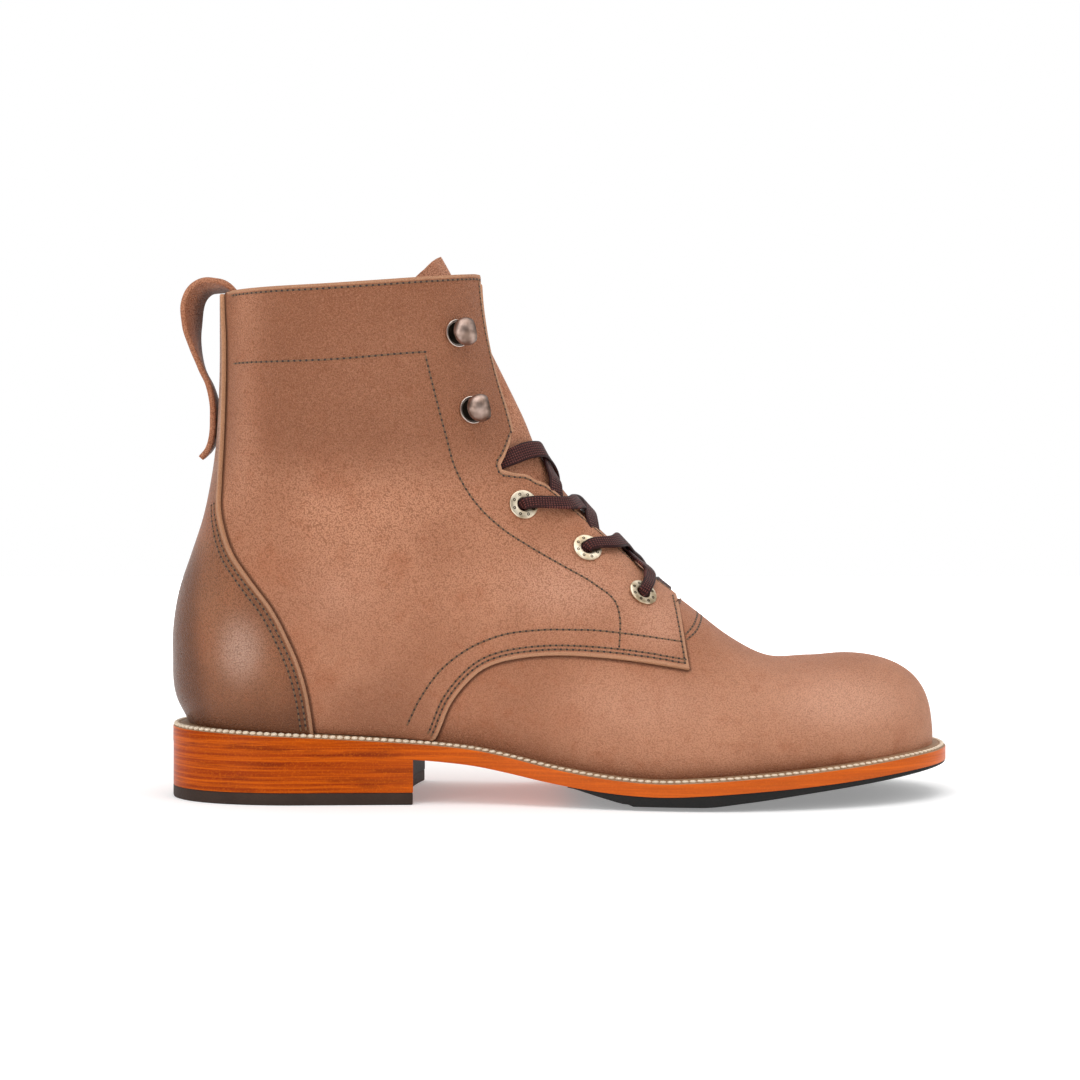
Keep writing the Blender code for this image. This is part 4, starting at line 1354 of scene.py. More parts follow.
def build_counter():
    """Counter and backstay over the back seam."""
    halves = []
    high = float(collar_z(-130.0)) - 0.2
    for side in SIDES:

        def place(u, v, side=side):
            spread = u**1.8
            low = np.full_like(u, 30.0)
            for _ in range(4):
                z = low + (high - low) * v**1.15
                x = shaft_back(z) + (counter_x(z) - shaft_back(z)) * spread
                low = feather_z(shaft_back(low) + (counter_x(low) - shaft_back(low)) * spread) - 0.4
            points = upper_point(x, z, side)
            points[u < 1e-6, 1] = 0.0
            return points

        halves.append(lay_sheet("counter_half", 34, 120, place, flip=side == MEDIAL))
    piece = join("counter", halves)
    edge = distance_to(piece, [counter_line(side) for side in SIDES])
    raise_sheet(piece, COUNTER_LIFT)
    x, z = side_view(piece)
    # Painted shade low by the welt, and darker toward the back and by the front edge below the counter's top
    below = eased((112 - z) / 30)
    behind = 0.8 * eased((-130 - x) / 12)
    by_edge = 0.35 * np.exp(-((counter_x(z) - x) / 7.0) ** 2)
    # Painted highlight on the counter, and paler above the counter's top
    pale = soft_spots(COUNTER_HIGHLIGHT, x, z) + 0.9 * eased((z - 112) / 30)
    side_paint(piece, pale, 0.9 * from_welt(x, z, 14.0) + (behind + by_edge) * below, edge)
    coat(piece, COUNTER_FINISH, RAW_EDGE)
    give_wall(piece, LEATHER)
    return finish_piece(piece, ("heel_counter",))


def build_lining():
    """Lining of the shaft and foot, a little below the collar's edge."""
    sheets = []
    last = len(QUARTER_RIBS) - 1
    for side in SIDES:

        def place(u, v, side=side):
            t = u * last
            short = 0.012 + 0.12 * np.exp(-(((t - NOTCH_RIB) / 2.2) ** 2)) + 0.06 * eased((t - SWOOP_RIB) / 4)
            points = upper_point(*on_ribs(side, t, 0.02 + (0.98 - short) * v), side)
            points[u < 1e-6, 1] = 0.0
            return points

        sheets.append(lay_sheet("lining_half", 80, 40, place, flip=side == MEDIAL))
    piece = join("lining", sheets)
    raise_sheet(piece, -LINING_DEPTH)
    give_wall(piece, LINING_THICK, 0.2)
    coat(piece, LINING_FINISH, LINING_FINISH)
    return finish_piece(piece, ("upper",))


def build_tongue():
    """Tongue: bulged between the facings, held under them, and leaning back at its tip."""
    number = np.arange(len(TONGUE))
    line_x = through(number, [row.x for row in TONGUE])
    line_z = through(number, [row.z for row in TONGUE])
    half = through(number, [row.half_width for row in TONGUE])
    under = UPPER_WALL + TONGUE_CLEAR
    rows, columns = 96, 44
    at = np.linspace(0, len(TONGUE) - 1, rows + 1)
    grid = np.empty((rows + 1, columns + 1, 3))
    for index, t in enumerate(at):
        here = np.array([line_x(t), line_z(t)])
        way = unit(np.array([line_x(t + 0.05) - line_x(t - 0.05), line_z(t + 0.05) - line_z(t - 0.05)]))
        inward = np.array([-way[1], way[0]])
        y = np.linspace(-1, 1, columns + 1) * half(t)
        reach = np.abs(y)
        lean = np.clip(reach / TONGUE_CURVE, 0, 0.9)
        curl = TONGUE_CURVE - (TONGUE_CURVE - TIP_CURVE) * eased((here[1] - 186.0) / 14.0)
        bulged = reach**2 / (2 * curl)
        held = np.empty_like(reach)
        for side in SIDES:
            chosen = y * side >= 0
            deep = ridge_depth(here, inward, reach + under * lean, side)
            held[chosen] = (deep + under * np.sqrt(1 - lean**2))[chosen]
        tuck = eased((reach - 3.0) / (min(float(throat_gap(here[1])), 12.0) - 4.0))
        tuck = np.where(here[0] > THROAT_END_X - 6.5, 1.0, tuck)
        depth = bulged + (np.maximum(held, bulged) - bulged) * tuck
        x = here[0] + inward[0] * depth
        grid[index] = np.stack([x, last_line(x) + y, here[1] + inward[1] * depth], axis=-1)

    def place(u, v):
        return grid[np.round(v * rows).astype(int), np.round(u * columns).astype(int)]

    piece = lay_sheet("tongue_leather", columns, rows, place)
    side_paint(piece, 0.25, 0.2)
    coat(piece, LEATHER_FINISH, RAW_EDGE)
    give_wall(piece, TONGUE_THICK)
    return finish_piece(piece, ("tongue",))


def sweep_band(name, middle, across, outward, width, thick, corner=0.45):
    """Flat band with rounded edges along a line. Its map runs in millimetres across and along."""
    profile = []
    for quarter in range(4):
        cx = 0.5 if quarter in (0, 3) else -0.5
        cy = 0.5 if quarter in (0, 1) else -0.5
        for step in range(4):
            angle = (quarter + step / 3) * math.pi / 2
            profile.append((cx, cy, math.cos(angle), math.sin(angle)))
    profile = np.array(profile)
    reach = run_along(middle)
    width = np.broadcast_to(width, len(middle))
    thick = np.broadcast_to(thick, len(middle))
    round_by = corner * thick
    grid = []
    for place, side, up, w, t, r in zip(middle, across, outward, width, thick, round_by):
        wide = profile[:, 0] * (w - 2 * r) + profile[:, 2] * r
        tall = profile[:, 1] * (t - 2 * r) + profile[:, 3] * r
        ring = place + wide[:, None] * side + tall[:, None] * up
        grid.append(np.concatenate([ring, ring[:1]]))
    grid = np.array(grid)
    count = len(profile)
    rows = len(middle) - 1

    def lay(u, v):
        return grid[np.round(v * rows).astype(int), np.round(u * count).astype(int)]

    piece = lay_sheet(name, count, rows, lay)
    layer = piece.data.uv_layers.active.data
    index = np.empty(len(piece.data.loops), int)
    piece.data.loops.foreach_get("vertex_index", index)
    flat = np.empty(len(layer) * 2, np.float32)
    layer.foreach_get("uv", flat)
    flat = flat.reshape(-1, 2)
    around = np.concatenate([profile[:, 0] + 0.5, [1.0]])
    column = np.clip(np.round(flat[:, 0] * count).astype(int), 0, count)
    row = np.clip(np.round(flat[:, 1] * rows).astype(int), 0, rows)
    flat[:, 0] = around[column] * width[row]
    flat[:, 1] = reach[row]
    layer.foreach_set("uv", flat.ravel())
    bpy.ops.object.mode_set(mode="EDIT")
    bpy.ops.mesh.select_all(action="SELECT")
    bpy.ops.mesh.remove_doubles(threshold=0.01 * MM)
    bpy.ops.mesh.select_all(action="DESELECT")
    bpy.ops.mesh.select_mode(type="EDGE")
    bpy.ops.mesh.select_non_manifold()
    bpy.ops.mesh.fill_holes(sides=0)
    bpy.ops.mesh.select_all(action="SELECT")
    bpy.ops.mesh.normals_make_consistent(inside=False)
    bpy.ops.object.mode_set(mode="OBJECT")
    return piece


def build_pull_loop():
    """Strap that comes out of the collar, twists round and is sewn down the back seam."""
    number = np.arange(len(PULL_LOOP))
    at = np.linspace(0, len(PULL_LOOP) - 1, 120)
    line_x = through(number, [row.x for row in PULL_LOOP])(at)
    line_z = through(number, [row.z for row in PULL_LOOP])(at)
    twist = np.radians(through(number, [row.twist for row in PULL_LOOP])(at))
    middle = np.stack([line_x, np.zeros_like(at), line_z], axis=-1)
    along = unit(np.gradient(middle, axis=0))
    flat = np.tile([0.0, 1.0, 0.0], (len(at), 1))
    inward = np.cross(along, flat)
    across = flat * np.cos(twist)[:, None] + inward * np.sin(twist)[:, None]
    inward = np.cross(along, across)
    piece = sweep_band("back_pull_loop", middle, across, inward, LOOP_WIDTH, LOOP_THICK, 0.4)
    tree = near_points([middle])
    # Painted shade on the loop's inner face: its gap falls across the strap toward the far edge, so the
    # finish darkens it there.
    gap = []
    for point in points_of(piece) / MM:
        _, index, _ = tree.find(point)
        inside = (point - middle[index]).dot(inward[index]) > 0.3 * LOOP_THICK
        share = (point - middle[index]).dot(across[index]) / LOOP_WIDTH + 0.5
        gap.append(2.3 * (1 - share) if inside else FAR)
    side_paint(piece, 0.1, 0.2, FAR, np.array(gap))
    coat(piece, LEATHER_FINISH)
    return finish_piece(piece, ("pull_loop",))


# Sole

def plan_outline(out, count):
    """Closed plan outline of the feather edge, moved outward by a margin that varies along X."""
    half = count // 2
    turn = np.linspace(0, math.pi, half + 1)
    back = -143.0
    for _ in range(30):
        back = float(shaft_back(feather_z(back)))
    x = (UPPER_TIP + back) / 2 - (UPPER_TIP - back) / 2 * np.cos(turn)
    loop = []
    for side in SIDES:
        loop.append(np.stack([x, last_line(x) + side * half_width(x, feather_z(x), side)], axis=-1))
    lateral, medial = loop
    lateral[0, 1] = 0.0
    medial[-1, 1] = last_line(UPPER_TIP)
    loop = np.concatenate([lateral[:-1], medial[:0:-1]])
    tangent = np.roll(loop, -1, axis=0) - np.roll(loop, 1, axis=0)
    normal = unit(np.stack([tangent[:, 1], -tangent[:, 0]], axis=-1))
    return loop + normal * out(loop[:, 0])[:, None]


def sides_at(outline, x):
    """Lateral and medial Y of a plan outline at stations along X."""
    half = len(outline) // 2
    lateral = outline[: half + 1]
    medial = np.concatenate([outline[half:], outline[:1]])[::-1]
    return np.interp(x, lateral[:, 0], lateral[:, 1]), np.interp(x, medial[:, 0], medial[:, 1])


def sole_top(x):
    """Top of the outsole, against the welt."""
    return welt_top(x) - WELT_THICK


def sole_bottom(x):
    """Underside of the leather outsole."""
    return sole_top(x) - FEATHER_GAP - outsole_thick(x)


def raise_to(piece, top):
    """Extrude a flat sheet up to a height that varies along X."""
    count = len(piece.data.vertices)
    extrude_all(piece, (0.0, 0.0, 0.5))
    points = points_of(piece)
    points[count:, 2] = top(points[count:, 0] / MM) * MM
    move_points(piece, points)


def plate(name, stations, across, outline, top, bottom):
    """Plate over the sole's plan between two heights, laid as a sheet and extruded up."""
    lateral, medial = sides_at(outline, stations)
    columns = len(stations) - 1

    def lay(u, v):
        index = np.round(u * columns).astype(int)
        x = stations[index]
        y = lateral[index] + (medial - lateral)[index] * v
        return np.stack([x, y, bottom(x, 2 * v - 1)], axis=-1)

    piece = lay_sheet(name, columns, across, lay, flip=True)
    raise_to(piece, top)
    face_out(piece, 0.01)
    return piece


def stations_between(back, front, count):
    """X stations, close together at both ends."""
    turn = np.linspace(0, math.pi, count)
    return (back + front) / 2 - (front - back) / 2 * np.cos(turn)


def build_outsole():
    """Leather outsole."""
    outline = plan_outline(welt_margin, 420)
    stations = stations_between(outline[:, 0].min() + 0.02, outline[:, 0].max() - 0.02, 150)
    piece = plate("leather_outsole", stations, 12, outline, sole_top, lambda x, place: sole_bottom(x))
    round_edges(piece, 0.5, 2, 50)
    apply_all(piece)
    coat(piece, SOLE_EDGE)
    return finish_piece(piece, ("outsole",))


def build_rubber():
    """Rubber half sole, feathered into the waist."""
    outline = plan_outline(lambda x: welt_margin(x) - 0.25, 420)
    front = outline[:, 0].max() - 0.02
    stations = front - (front - RUBBER_BACK) * (1 - np.linspace(0, 1, 110)) ** 1.5

    def tread(x, place):
        crown = TREAD_CROWN * np.clip((np.abs(place) - TREAD_CROWN_START) / (1 - TREAD_CROWN_START), 0, 1)
        thickness = RUBBER_THICK * np.clip((x - RUBBER_BACK) / RUBBER_FEATHER, 0.12, 1)
        full = sole_bottom(x) - thickness
        return np.where(x < TREAD_FLAT_BACK, np.maximum(full, tread_z(x)), tread_z(x) + crown)

    piece = plate("rubber_half_sole", stations, 16, outline, lambda x: sole_bottom(x) + 0.1, tread)
    round_edges(piece, 0.4, 2, 50)
    apply_all(piece)
    coat(piece, BLACK_RUBBER)
    return finish_piece(piece, ("forefoot_rubber",))


def build_welt():
    """Welt strip: a pale sloping top, and an edge dyed with the sole."""
    count = 420
    Corner = namedtuple("Corner", "out drop")
    section = (
        Corner(-WELT_STRIP, 0.0),
        Corner(-4.6, 0.0),
        Corner(-2.4, 0.35 * WELT_SLOPE),
        Corner(-0.7, 0.8 * WELT_SLOPE),
        Corner(-0.15, WELT_SLOPE),
        Corner(0.0, WELT_SLOPE + 0.4),
        Corner(0.0, WELT_THICK),
        Corner(-WELT_STRIP, WELT_THICK),
        Corner(-WELT_STRIP, 0.0),
    )
    rings = []
    for corner in section:
        loop = plan_outline(lambda x: welt_margin(x) + corner.out, count)
        ring = np.column_stack([loop, welt_top(loop[:, 0]) - corner.drop])
        rings.append(np.concatenate([ring, ring[:1]]))
    rings = np.array(rings)

    def lay(u, v):
        return rings[np.round(v * (len(section) - 1)).astype(int), np.round(u * count).astype(int)]

    piece = lay_sheet("welt_strip", count, len(section) - 1, lay)
    coat(piece, WELT_FINISH, SOLE_EDGE)
    face_out(piece, 0.01)
    for face in piece.data.polygons:
        face.material_index = 0 if face.normal.z > 0.5 else 1
    return finish_piece(piece, ("welt",))


def heel_outline(out):
    """Plan of the heel: the sole's back and a hollow breast, moved in or out."""
    outline = plan_outline(lambda x: welt_margin(x) + out, 420)
    half = len(outline) // 2
    lateral = outline[: half + 1]
    medial = np.concatenate([outline[half:], outline[:1]])[::-1]
    right = [tuple(point) for point in lateral if point[0] < HEEL_BREAST - 0.5]
    left = [tuple(point) for point in medial[1:] if point[0] < HEEL_BREAST - 0.5]
    right_y, left_y = sides_at(outline, np.array([HEEL_BREAST]))
    breast = []
    for t in np.linspace(-1, 1, 41):
        y = right_y[0] + (left_y[0] - right_y[0]) * (t + 1) / 2
        breast.append((HEEL_BREAST - BREAST_HOLLOW * (1 - t * t), float(y)))
    return np.array([*right, *breast, *left[::-1]])


def build_prism(name, outline, top, bottom):
    """Upright solid over a plan outline, from a filled circle that is reshaped and extruded."""
    circle = start(bpy.ops.mesh.primitive_circle_add, vertices=len(outline), radius=1.0, fill_type="NGON")
    piece = name_piece(circle, name)
    move_points(piece, np.column_stack([outline, bottom(outline[:, 0])]) * MM)
    raise_to(piece, top)
    face_out(piece)
    return piece


def build_heel():
    """Stacked leather heel and its rubber top lift."""
    stack = build_prism(
        "heel_lifts",
        heel_outline(-0.12),
        lambda x: sole_bottom(x) + 1.0,
        lambda x: np.full_like(x, TOP_LIFT_THICK),
    )
    lift = build_prism(
        "heel_top_lift",
        heel_outline(-0.1),
        lambda x: np.full_like(x, TOP_LIFT_THICK),
        lambda x: np.zeros_like(x),
    )
    round_edges(lift, 0.5, 2, 50)
    apply_all(lift)
    # The breast faces take the dark finish as painted shade
    coat(stack, SOLE_EDGE, BREAST_SHADE)
    coat(lift, BROWN_RUBBER)
    for face in stack.data.polygons:
        face.material_index = 1 if face.normal.x > 0.7 else 0
    finish_piece(stack, ("heel_stack",), 35)
    finish_piece(lift, ("top_lift",), 35)


# Metal fittings

def frame_at(fitting, side, lift, forward=(0.72, 0.0, 0.69)):
    """Matrix that stands a fitting on the upper, Z outward and X toward the throat, in metres."""
    normal = Vector(upper_normal(fitting.x, fitting.z, side))
    place = Vector(upper_point(fitting.x, fitting.z, side)) + normal * lift
    forward = Vector(forward)
    across = (forward - normal * forward.dot(normal)).normalized()
    turn = Matrix((across, normal.cross(across), normal)).transposed().to_4x4()
    return Matrix.Translation(place * MM) @ turn


def settle(piece):
    """Put a piece's place into its mesh."""
    piece.data.transform(piece.matrix_world)
    piece.matrix_world = Matrix.Identity(4)


def select_faces(piece, test):
    """Select the faces whose middle passes a test, in edit mode afterwards."""
    bpy.ops.object.mode_set(mode="EDIT")
    bpy.ops.mesh.select_mode(type="FACE")
    bpy.ops.mesh.select_all(action="DESELECT")
    bpy.ops.object.mode_set(mode="OBJECT")
    for face in piece.data.polygons:
        face.select = test(face.center / MM, face.normal)
    bpy.ops.object.mode_set(mode="EDIT")


def build_eyelet(side, number, fitting):
    """Flanged eyelet: a disc inset to a bore, with a rolled rim and a ring of punched dots."""
    ring = start(
        bpy.ops.mesh.primitive_cylinder_add,
        vertices=64,
        radius=EYELET_RADIUS * MM,
        depth=EYELET_FLANGE * MM,
        location=(0, 0, EYELET_FLANGE / 2 * MM),
    )
    settle(ring)
    select_faces(ring, lambda middle, normal: abs(normal.z) > 0.9)
    bpy.ops.mesh.inset(thickness=(EYELET_RADIUS - EYELET_HOLE) * MM, use_individual=True)
    bpy.ops.object.mode_set(mode="OBJECT")
    points = points_of(ring)
    radius = np.hypot(points[:, 0], points[:, 1])
    bore = (radius < (EYELET_HOLE + 0.3) * MM) & (points[:, 2] < 0.1 * MM)
    points[bore, 2] = -EYELET_DEPTH * MM
    move_points(ring, points)
    select_faces(ring, lambda middle, normal: middle.length < 3.0 and math.hypot(middle.x, middle.y) < 0.5)
    bpy.ops.mesh.bridge_edge_loops()
    bpy.ops.object.mode_set(mode="OBJECT")
    round_edges(ring, 0.38, 3, 50)
    apply_all(ring)
    coat(ring, EYELET_METAL)
    pieces = [ring]
    for k in range(EYELET_DOTS):
        angle = 2 * math.pi * (k + 0.5) / EYELET_DOTS
        place = Vector((DOT_CIRCLE * math.cos(angle), DOT_CIRCLE * math.sin(angle), EYELET_FLANGE))
        dot = start(
            bpy.ops.mesh.primitive_torus_add,
            major_segments=12,
            minor_segments=6,
            major_radius=DOT_RADIUS * MM,
            minor_radius=DOT_WIRE * MM,
            location=place * MM,
        )
        settle(dot)
        coat(dot, METAL_PATINA_AND_SHADE)
        pieces.append(dot)
    name = SIDE_NAMES[side]
    piece = join(f"eyelet_ring_{name}_{number}", pieces, 0.001)
    piece.data.transform(frame_at(fitting, side, quarter_top(fitting)))
    return finish_piece(piece, (f"eyelet_{name}_{number}",), 40)


def quarter_top(fitting):
    """Height of the quarter's own face over the last at a fitting."""
    return float(quarter_face(np.array([fitting.x]), np.array([fitting.z]))[0])


def build_hook(side, number, fitting):
    """Speed hook: a rimmed base, a short neck, and a domed cap with a bite out of its throat side."""
    rod = bpy.ops.mesh.primitive_cylinder_add
    base = start(rod, vertices=64, radius=HOOK_BASE_RADIUS * MM, depth=HOOK_BASE_THICK * MM)
    base.data.transform(Matrix.Translation((0, 0, HOOK_BASE_THICK / 2 * MM)))
    # The dish under the cap, the neck and the bite take the dark finish as painted shade under the cap
    coat(base, HOOK_RIM, METAL_PATINA_AND_SHADE)
    select_faces(base, lambda middle, normal: normal.z > 0.9)
    bpy.ops.mesh.inset(thickness=HOOK_RIM_WIDTH * MM)
    bpy.ops.transform.translate(value=(0.0, 0.0, -HOOK_DISH * MM))
    bpy.ops.object.mode_set(mode="OBJECT")
    for face in base.data.polygons:
        face.material_index = 1 if face.select else 0
    round_edges(base, 0.5, 3, 50)
    apply_all(base)
    neck = start(rod, vertices=32, radius=HOOK_NECK_RADIUS * MM, depth=HOOK_NECK_LENGTH * MM)
    neck.data.transform(Matrix.Translation((HOOK_NECK_FORWARD * MM, 0, 2.2 * MM)))
    coat(neck, METAL_PATINA_AND_SHADE)
    cap = start(bpy.ops.mesh.primitive_uv_sphere_add, segments=64, ring_count=32, radius=HOOK_CAP_RADIUS * MM)
    bpy.ops.object.mode_set(mode="EDIT")
    bpy.ops.mesh.select_all(action="SELECT")
    under = (0, 0, -HOOK_CAP_UNDER * MM)
    bpy.ops.mesh.bisect(plane_co=under, plane_no=(0, 0, -1), clear_outer=True, use_fill=True)
    bpy.ops.object.mode_set(mode="OBJECT")
    move_points(cap, points_of(cap) * np.array([1.0, 1.0, HOOK_CAP_FLATTEN]))
    coat(cap, HOOK_METAL, METAL_PATINA_AND_SHADE)
    bite = start(rod, vertices=128, radius=HOOK_BITE * MM, depth=20 * MM)
    bite.data.transform(Matrix.Translation(((HOOK_CUT + HOOK_BITE) * MM, 0, 0)))
    cut_through(cap, [bite], (HOOK_METAL, METAL_PATINA_AND_SHADE))
    # Painted shade on the cap's lip beside the bite
    paint(cap, "cap_lip_shade", 0.75 * eased((points_of(cap)[:, 0] / MM - HOOK_CUT + 2.2) / 2.4))
    move_points(cap, points_of(cap) + np.array([HOOK_CAP_FORWARD, 0.0, HOOK_CAP_HEIGHT]) * MM)
    name = SIDE_NAMES[side]
    piece = join(f"speed_hook_{name}_{number}", [base, neck, cap], 0.001)
    piece.data.transform(frame_at(fitting, side, quarter_top(fitting), (0.98, 0.0, 0.2)))
    return finish_piece(piece, (f"hook_{name}_{number}",), 40)


# Lace

def lace_stop(number, side, height):
    """Point in or over an eyelet, and the way out there."""
    fitting = EYELETS[number - 1]
    normal = upper_normal(fitting.x, fitting.z, side)
    return upper_point(fitting.x, fitting.z, side) + normal * height, normal


def lace_half(first, over):
    """Stops of one half of the lace from a bottom eyelet up, crossing the throat three times."""
    far = -first
    return [
        (*over_throat(80.6, first * 7.5, 0.2), LACE_WIDTH),
        (*over_throat(79.5, first * 15.0, -2.6), 5.6),
        (*lace_stop(3, first, -3.0), 4.4),
        (*lace_stop(3, first, 1.6), 4.4),
        (*over_throat(85.5, first * 15.0, 2.6), 5.6),
        (*over_throat(90.0, first * 8.0, 1.4 + over), LACE_WIDTH),
        (*over_throat(93.5, 0.0, 0.9 + over), LACE_WIDTH),
        (*over_throat(96.5, far * 8.0, 1.5 + over), LACE_WIDTH),
        (*over_throat(97.5, far * 14.0, 2.8), 5.8),
        (*lace_stop(2, far, 2.0), 4.6),
        (*lace_stop(2, far, -3.0), 4.4),
        (*over_throat(101.0, far * 14.5, -2.4), 5.6),
        (*over_throat(106.0, far * 9.0, 0.6), LACE_WIDTH),
        (*over_throat(109.5, 0.0, 0.9 + over), LACE_WIDTH),
        (*over_throat(112.5, first * 8.5, 1.6 + over), LACE_WIDTH),
        (*over_throat(113.5, first * 14.0, 2.8), 5.8),
        (*lace_stop(1, first, 2.0), 4.6),
        (*lace_stop(1, first, -3.0), 4.4),
        (*over_throat(116.0, first * 15.5, -2.4), 5.6),
        (*over_throat(120.5, first * 10.0, 0.4), LACE_WIDTH),
        (*over_throat(125.0, first * 5.0, 0.3 + over), LACE_WIDTH),
        (*over_throat(130.0, 0.0, 0.4 + over), LACE_WIDTH),
        (*over_throat(132.5, far * 6.0, 0.4 + over), LACE_WIDTH),
        (*over_throat(134.0, far * 12.0, 0.2), LACE_WIDTH),
        (*over_throat(134.5, far * 19.0, -1.6), 6.4),
        (*over_throat(135.0, far * 24.0, -3.2), 6.0),
    ]


def build_lace():
    """One flat lace, from under one top facing down through the eyelets and back up to the other."""
    bar = [(*over_throat(80.6, 0.0, 0.9), LACE_WIDTH)]
    stops = lace_half(LATERAL, 0.0)[::-1] + bar + lace_half(MEDIAL, 1.5)
    points = np.array([stop[0] for stop in stops])
    reach = run_along(points)
    at = np.linspace(0, reach[-1], int(reach[-1] / 0.7))
    middle = smooth_rows(at, reach, points)
    outward = smooth_rows(at, reach, np.array([stop[1] for stop in stops]))
    width = through(reach, [stop[2] for stop in stops])(at)
    along = unit(np.gradient(middle, axis=0))
    across = unit(np.cross(along, outward))
    piece = sweep_band("lace", middle, across, np.cross(across, along), width, LACE_THICK)
    coat(piece, LACE_FINISH)
    nodes = ("lace_crossing_1", "lace_crossing_2", "lace_crossing_3", "lace_bar")
    return finish_piece(piece, nodes, 60)


# Sewing

def offset_line(points, side, away):
    """Line on the side of the boot moved sideways over the surface by a distance."""
    along = unit(np.gradient(upper_point(points[:, 0], points[:, 1], side), axis=0))
    normal = upper_normal(points[:, 0], points[:, 1], side)
    step = np.cross(normal, along) * away
    return points + step[:, [0, 2]]


def sewn_places(points, side, lift):
    """Stitch middles, directions and normals along a line on the side of the boot."""
    dense = line_through(points, 0.5)
    normal = upper_normal(dense[:, 0], dense[:, 1], side)
    place = upper_point(dense[:, 0], dense[:, 1], side) + normal * lift(dense[:, 0], dense[:, 1])[:, None]
    length = run_along(place)
    count = max(int(round(length[-1] / STITCH_PITCH)), 2)
    at = (np.arange(count) + 0.5) * length[-1] / count
    return [read_off(at, length, rows) for rows in (place, np.gradient(place, axis=0), normal)]


def quarter_seams(side):
    """Every sewn line on one quarter."""
    foot_x, foot_z, top_x, top_z = quarter_edges(side)
    last = len(QUARTER_RIBS) - 1
    front = np.linspace(SWOOP_RIB + 0.1, last - 0.12, 90)
    swoop = np.stack([foot_x(front), foot_z(front)], axis=-1)
    facing = facing_line(side)
    collar = np.linspace(1.2, COLLAR_RIB - 0.4, 120)
    top = np.stack([top_x(collar), top_z(collar) - 1.9], axis=-1)
    ends = np.array([[foot_x(last), foot_z(last) + 1.8], [top_x(last), top_z(last) - 0.6]])
    lines = [
        offset_line(swoop, side, -side * 2.0),
        offset_line(swoop, side, -side * 3.5),
        offset_line(facing, side, side * 1.7),
        top,
        np.linspace(ends[0], ends[1], 30) - np.array([1.6, 0.0]),
        np.array(VAMP_LINE),
        np.array(EYESTAY_LINE),
        np.array(BAND_LINE),
    ]
    vamp_lines = []
    for line in TONGUE_LINES:
        places = [(row.x, float(ridge_z(row.x)) - 0.25 if row.z is None else row.z) for row in line]
        vamp_lines.append(sewn_places(np.array(places), side, lambda x, z: 0.0 * x))
    return [sewn_places(line, side, quarter_face) for line in lines] + vamp_lines


def counter_seams(side):
    """Two sewn rows inside the counter's edge."""
    z = np.linspace(float(feather_z(-92.0)) + 1.5, 112.0, 80)
    edge = np.stack([counter_x(z), z], axis=-1)
    return [
        sewn_places(offset_line(edge, side, -side * away), side, lambda x, z: np.full_like(x, COUNTER_LIFT))
        for away in (2.3, 4.3)
    ]


def copies(name, template, rows, finish):
    """One joined mesh of a small part copied to many places, each turned to its own axes."""
    shape = points_of(template)
    faces = [tuple(face.vertices) for face in template.data.polygons]
    bpy.data.objects.remove(template, do_unlink=True)
    verts = []
    polygons = []
    for middle, along, across, normal in rows:
        start = len(verts)
        axes = np.stack([along, across, normal])
        verts.extend((shape @ axes + middle * MM).tolist())
        polygons.extend(tuple(index + start for index in face) for face in faces)
    mesh = bpy.data.meshes.new(name)
    mesh.from_pydata(verts, [], polygons)
    piece = bpy.data.objects.new(name, mesh)
    bpy.context.scene.collection.objects.link(piece)
    coat(piece, finish)
    return finish_piece(piece, angle=60)


def stitch_axes(lines):
    """Middle and axes of every stitch."""
    rows = []
    for middle, along, normal in lines:
        for place, way, up in zip(middle, along, normal):
            up = unit(up)
            way = unit(way - up * way.dot(up))
            rows.append((place, way, np.cross(up, way), up))
    return rows


def bead(length, width, height):
    """Small rounded bead, the start of a stitch or a needle hole."""
    piece = start(bpy.ops.mesh.primitive_uv_sphere_add, segments=8, ring_count=5, radius=0.5)
    move_points(piece, points_of(piece) * np.array([length, width, height]) * MM)
    return piece


def build_upper_stitches(lines):
    """Sunk brown stitches of the upper with a dark needle hole between each pair: a near-black bead, the
    painted shade inside the hole.
    """
    rows = stitch_axes(lines)
    copies("upper_stitching", bead(STITCH_PITCH * 0.85, 0.8, 0.55), rows, BROWN_THREAD)
    holes = []
    for place, way, across, up in rows:
        holes.append((place + way * STITCH_PITCH / 2, way, across, up))
    copies("needle_holes", bead(1.2, 0.86, 0.46), holes, NEEDLE_HOLE_SHADE)


def build_welt_stitches():
    """Cream stitches standing on the welt, slanted to the edge."""
    loop = plan_outline(lambda x: welt_margin(x) - 1.5, 1200)
    loop = np.concatenate([loop, loop[:1]])
    line = np.column_stack([loop, welt_top(loop[:, 0]) - 0.45 * WELT_SLOPE])
    length = run_along(line)
    count = int(length[-1] / WELT_PITCH)
    at = (np.arange(count) + 0.5) * length[-1] / count
    middle = read_off(at, length, line)
    along = read_off(at, length, np.gradient(line, axis=0))
    normal = np.tile([0.0, 0.0, 1.0], (count, 1))
    rows = []
    for place, way, across, up in stitch_axes([(middle, along, normal)]):
        size = 1.0 + 0.45 * float(eased((-20.0 - place[0]) / 60.0))
        rows.append((place, way, across * size, up * size))
    copies("welt_stitching", bead(WELT_PITCH * 0.98, 1.7, 1.05), rows, CREAM_THREAD)


# Stage

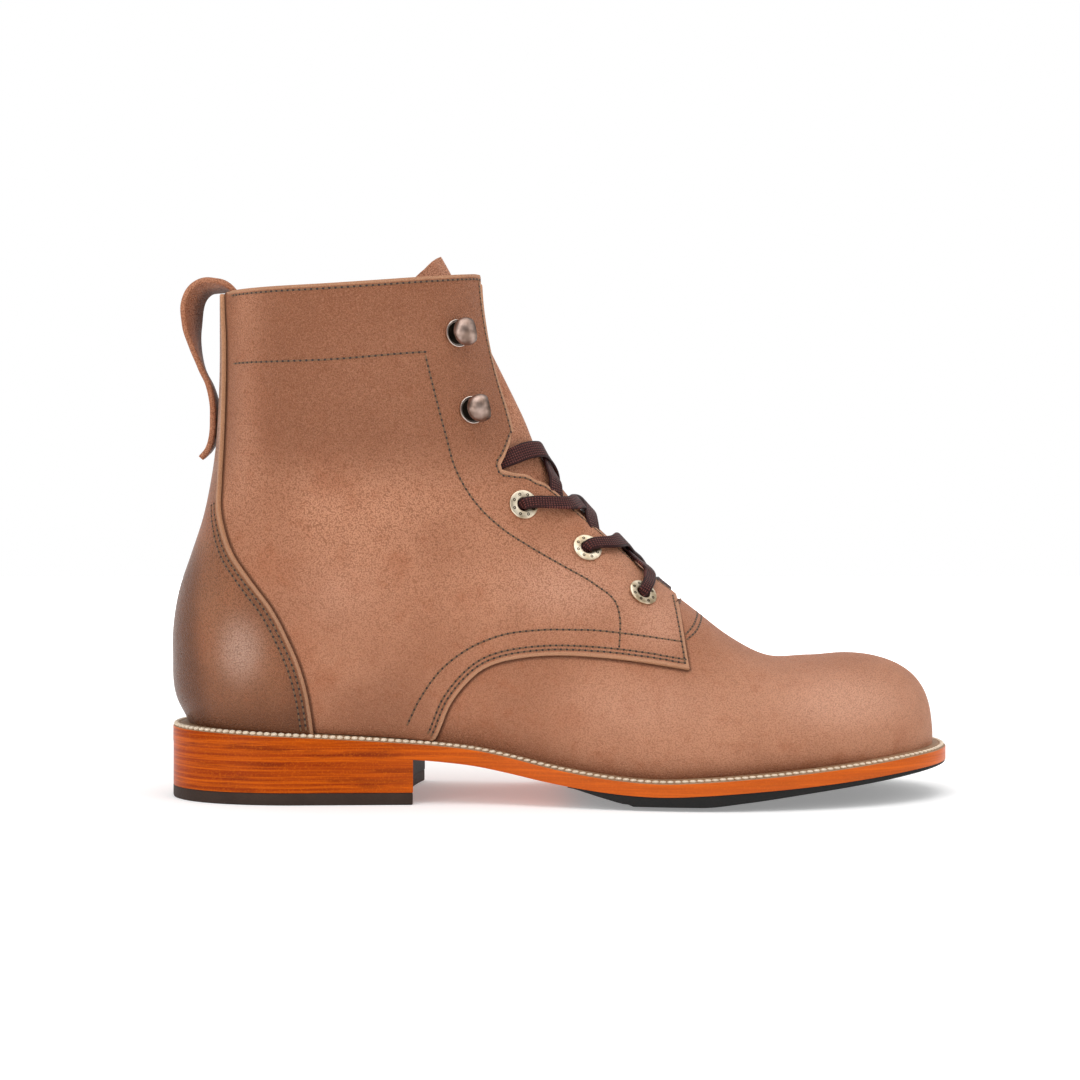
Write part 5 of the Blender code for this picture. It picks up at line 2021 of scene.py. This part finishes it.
def build_stage():
    """Plain white floor, soft studio lights, world and camera."""
    sheet = bpy.ops.mesh.primitive_plane_add
    floor = name_piece(start(sheet, size=40.0), "studio_floor")
    coat(floor, plain_floor())
    wall = start(sheet, size=40.0, location=(0.0, 4.0, 0.0), rotation=(math.pi / 2, 0.0, 0.0))
    backdrop = name_piece(wall, "studio_backdrop")
    coat(backdrop, plain_backdrop())
    Light = namedtuple("Light", "name place aim wide deep watts")
    lights = (
        Light("overhead_softbox", (0.05, -0.25, 1.0), (0.02, 0.0, 0.08), 1.1, 0.8, 6.5),
        Light("front_softbox", (-0.55, -1.1, 0.75), (-0.03, 0.0, 0.1), 0.8, 0.8, 3.5),
        Light("left_strip", (-0.85, -0.95, 0.16), (-0.12, 0.0, 0.06), 0.14, 0.5, 1.6),
        Light("toe_softbox", (0.9, -0.5, 0.6), (0.05, 0.0, 0.06), 0.5, 0.6, 1.5),
    )
    for row in lights:
        lamp = bpy.data.lights.new(row.name, "AREA")
        lamp.shape = "RECTANGLE"
        lamp.size = row.wide
        lamp.size_y = row.deep
        lamp.energy = row.watts
        thing = bpy.data.objects.new(row.name, lamp)
        bpy.context.scene.collection.objects.link(thing)
        thing.location = row.place
        aim = Vector(row.aim) - Vector(row.place)
        thing.rotation_euler = aim.to_track_quat("-Z", "Y").to_euler()
    world = bpy.data.worlds.new("studio")
    bpy.context.scene.world = world
    world.use_nodes = True
    sky = world.node_tree.nodes["Background"]
    sky.inputs["Color"].default_value = (1.0, 1.0, 1.0, 1.0)
    sky.inputs["Strength"].default_value = 0.3
    camera = bpy.data.objects.new("photo_camera", bpy.data.cameras.new("photo_camera"))
    bpy.context.scene.collection.objects.link(camera)
    camera.data.sensor_width = 36.0
    camera.data.lens = 60.0
    camera.data.clip_start = 0.01
    camera.location = (-0.00807, -0.7, 0.098)
    camera.rotation_euler = (math.pi / 2, 0.0, 0.0)
    bpy.context.scene.camera = camera
    bpy.context.scene.view_settings.view_transform = "Standard"


build_stage()
build_vamp()
for side in SIDES:
    build_quarter(side)
build_counter()
build_lining()
build_tongue()
build_pull_loop()
build_welt()
build_outsole()
build_rubber()
build_heel()
for side in SIDES:
    for number, fitting in enumerate(EYELETS, 1):
        build_eyelet(side, number, fitting)
    for number, fitting in enumerate(HOOKS, 1):
        build_hook(side, number, fitting)
build_lace()
seams = []
for side in SIDES:
    seams += quarter_seams(side) + counter_seams(side)
build_upper_stitches(seams)
build_welt_stitches()

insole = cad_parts["insole"]
insole.data.materials.clear()
insole.data.materials.append(LINING_FINISH)
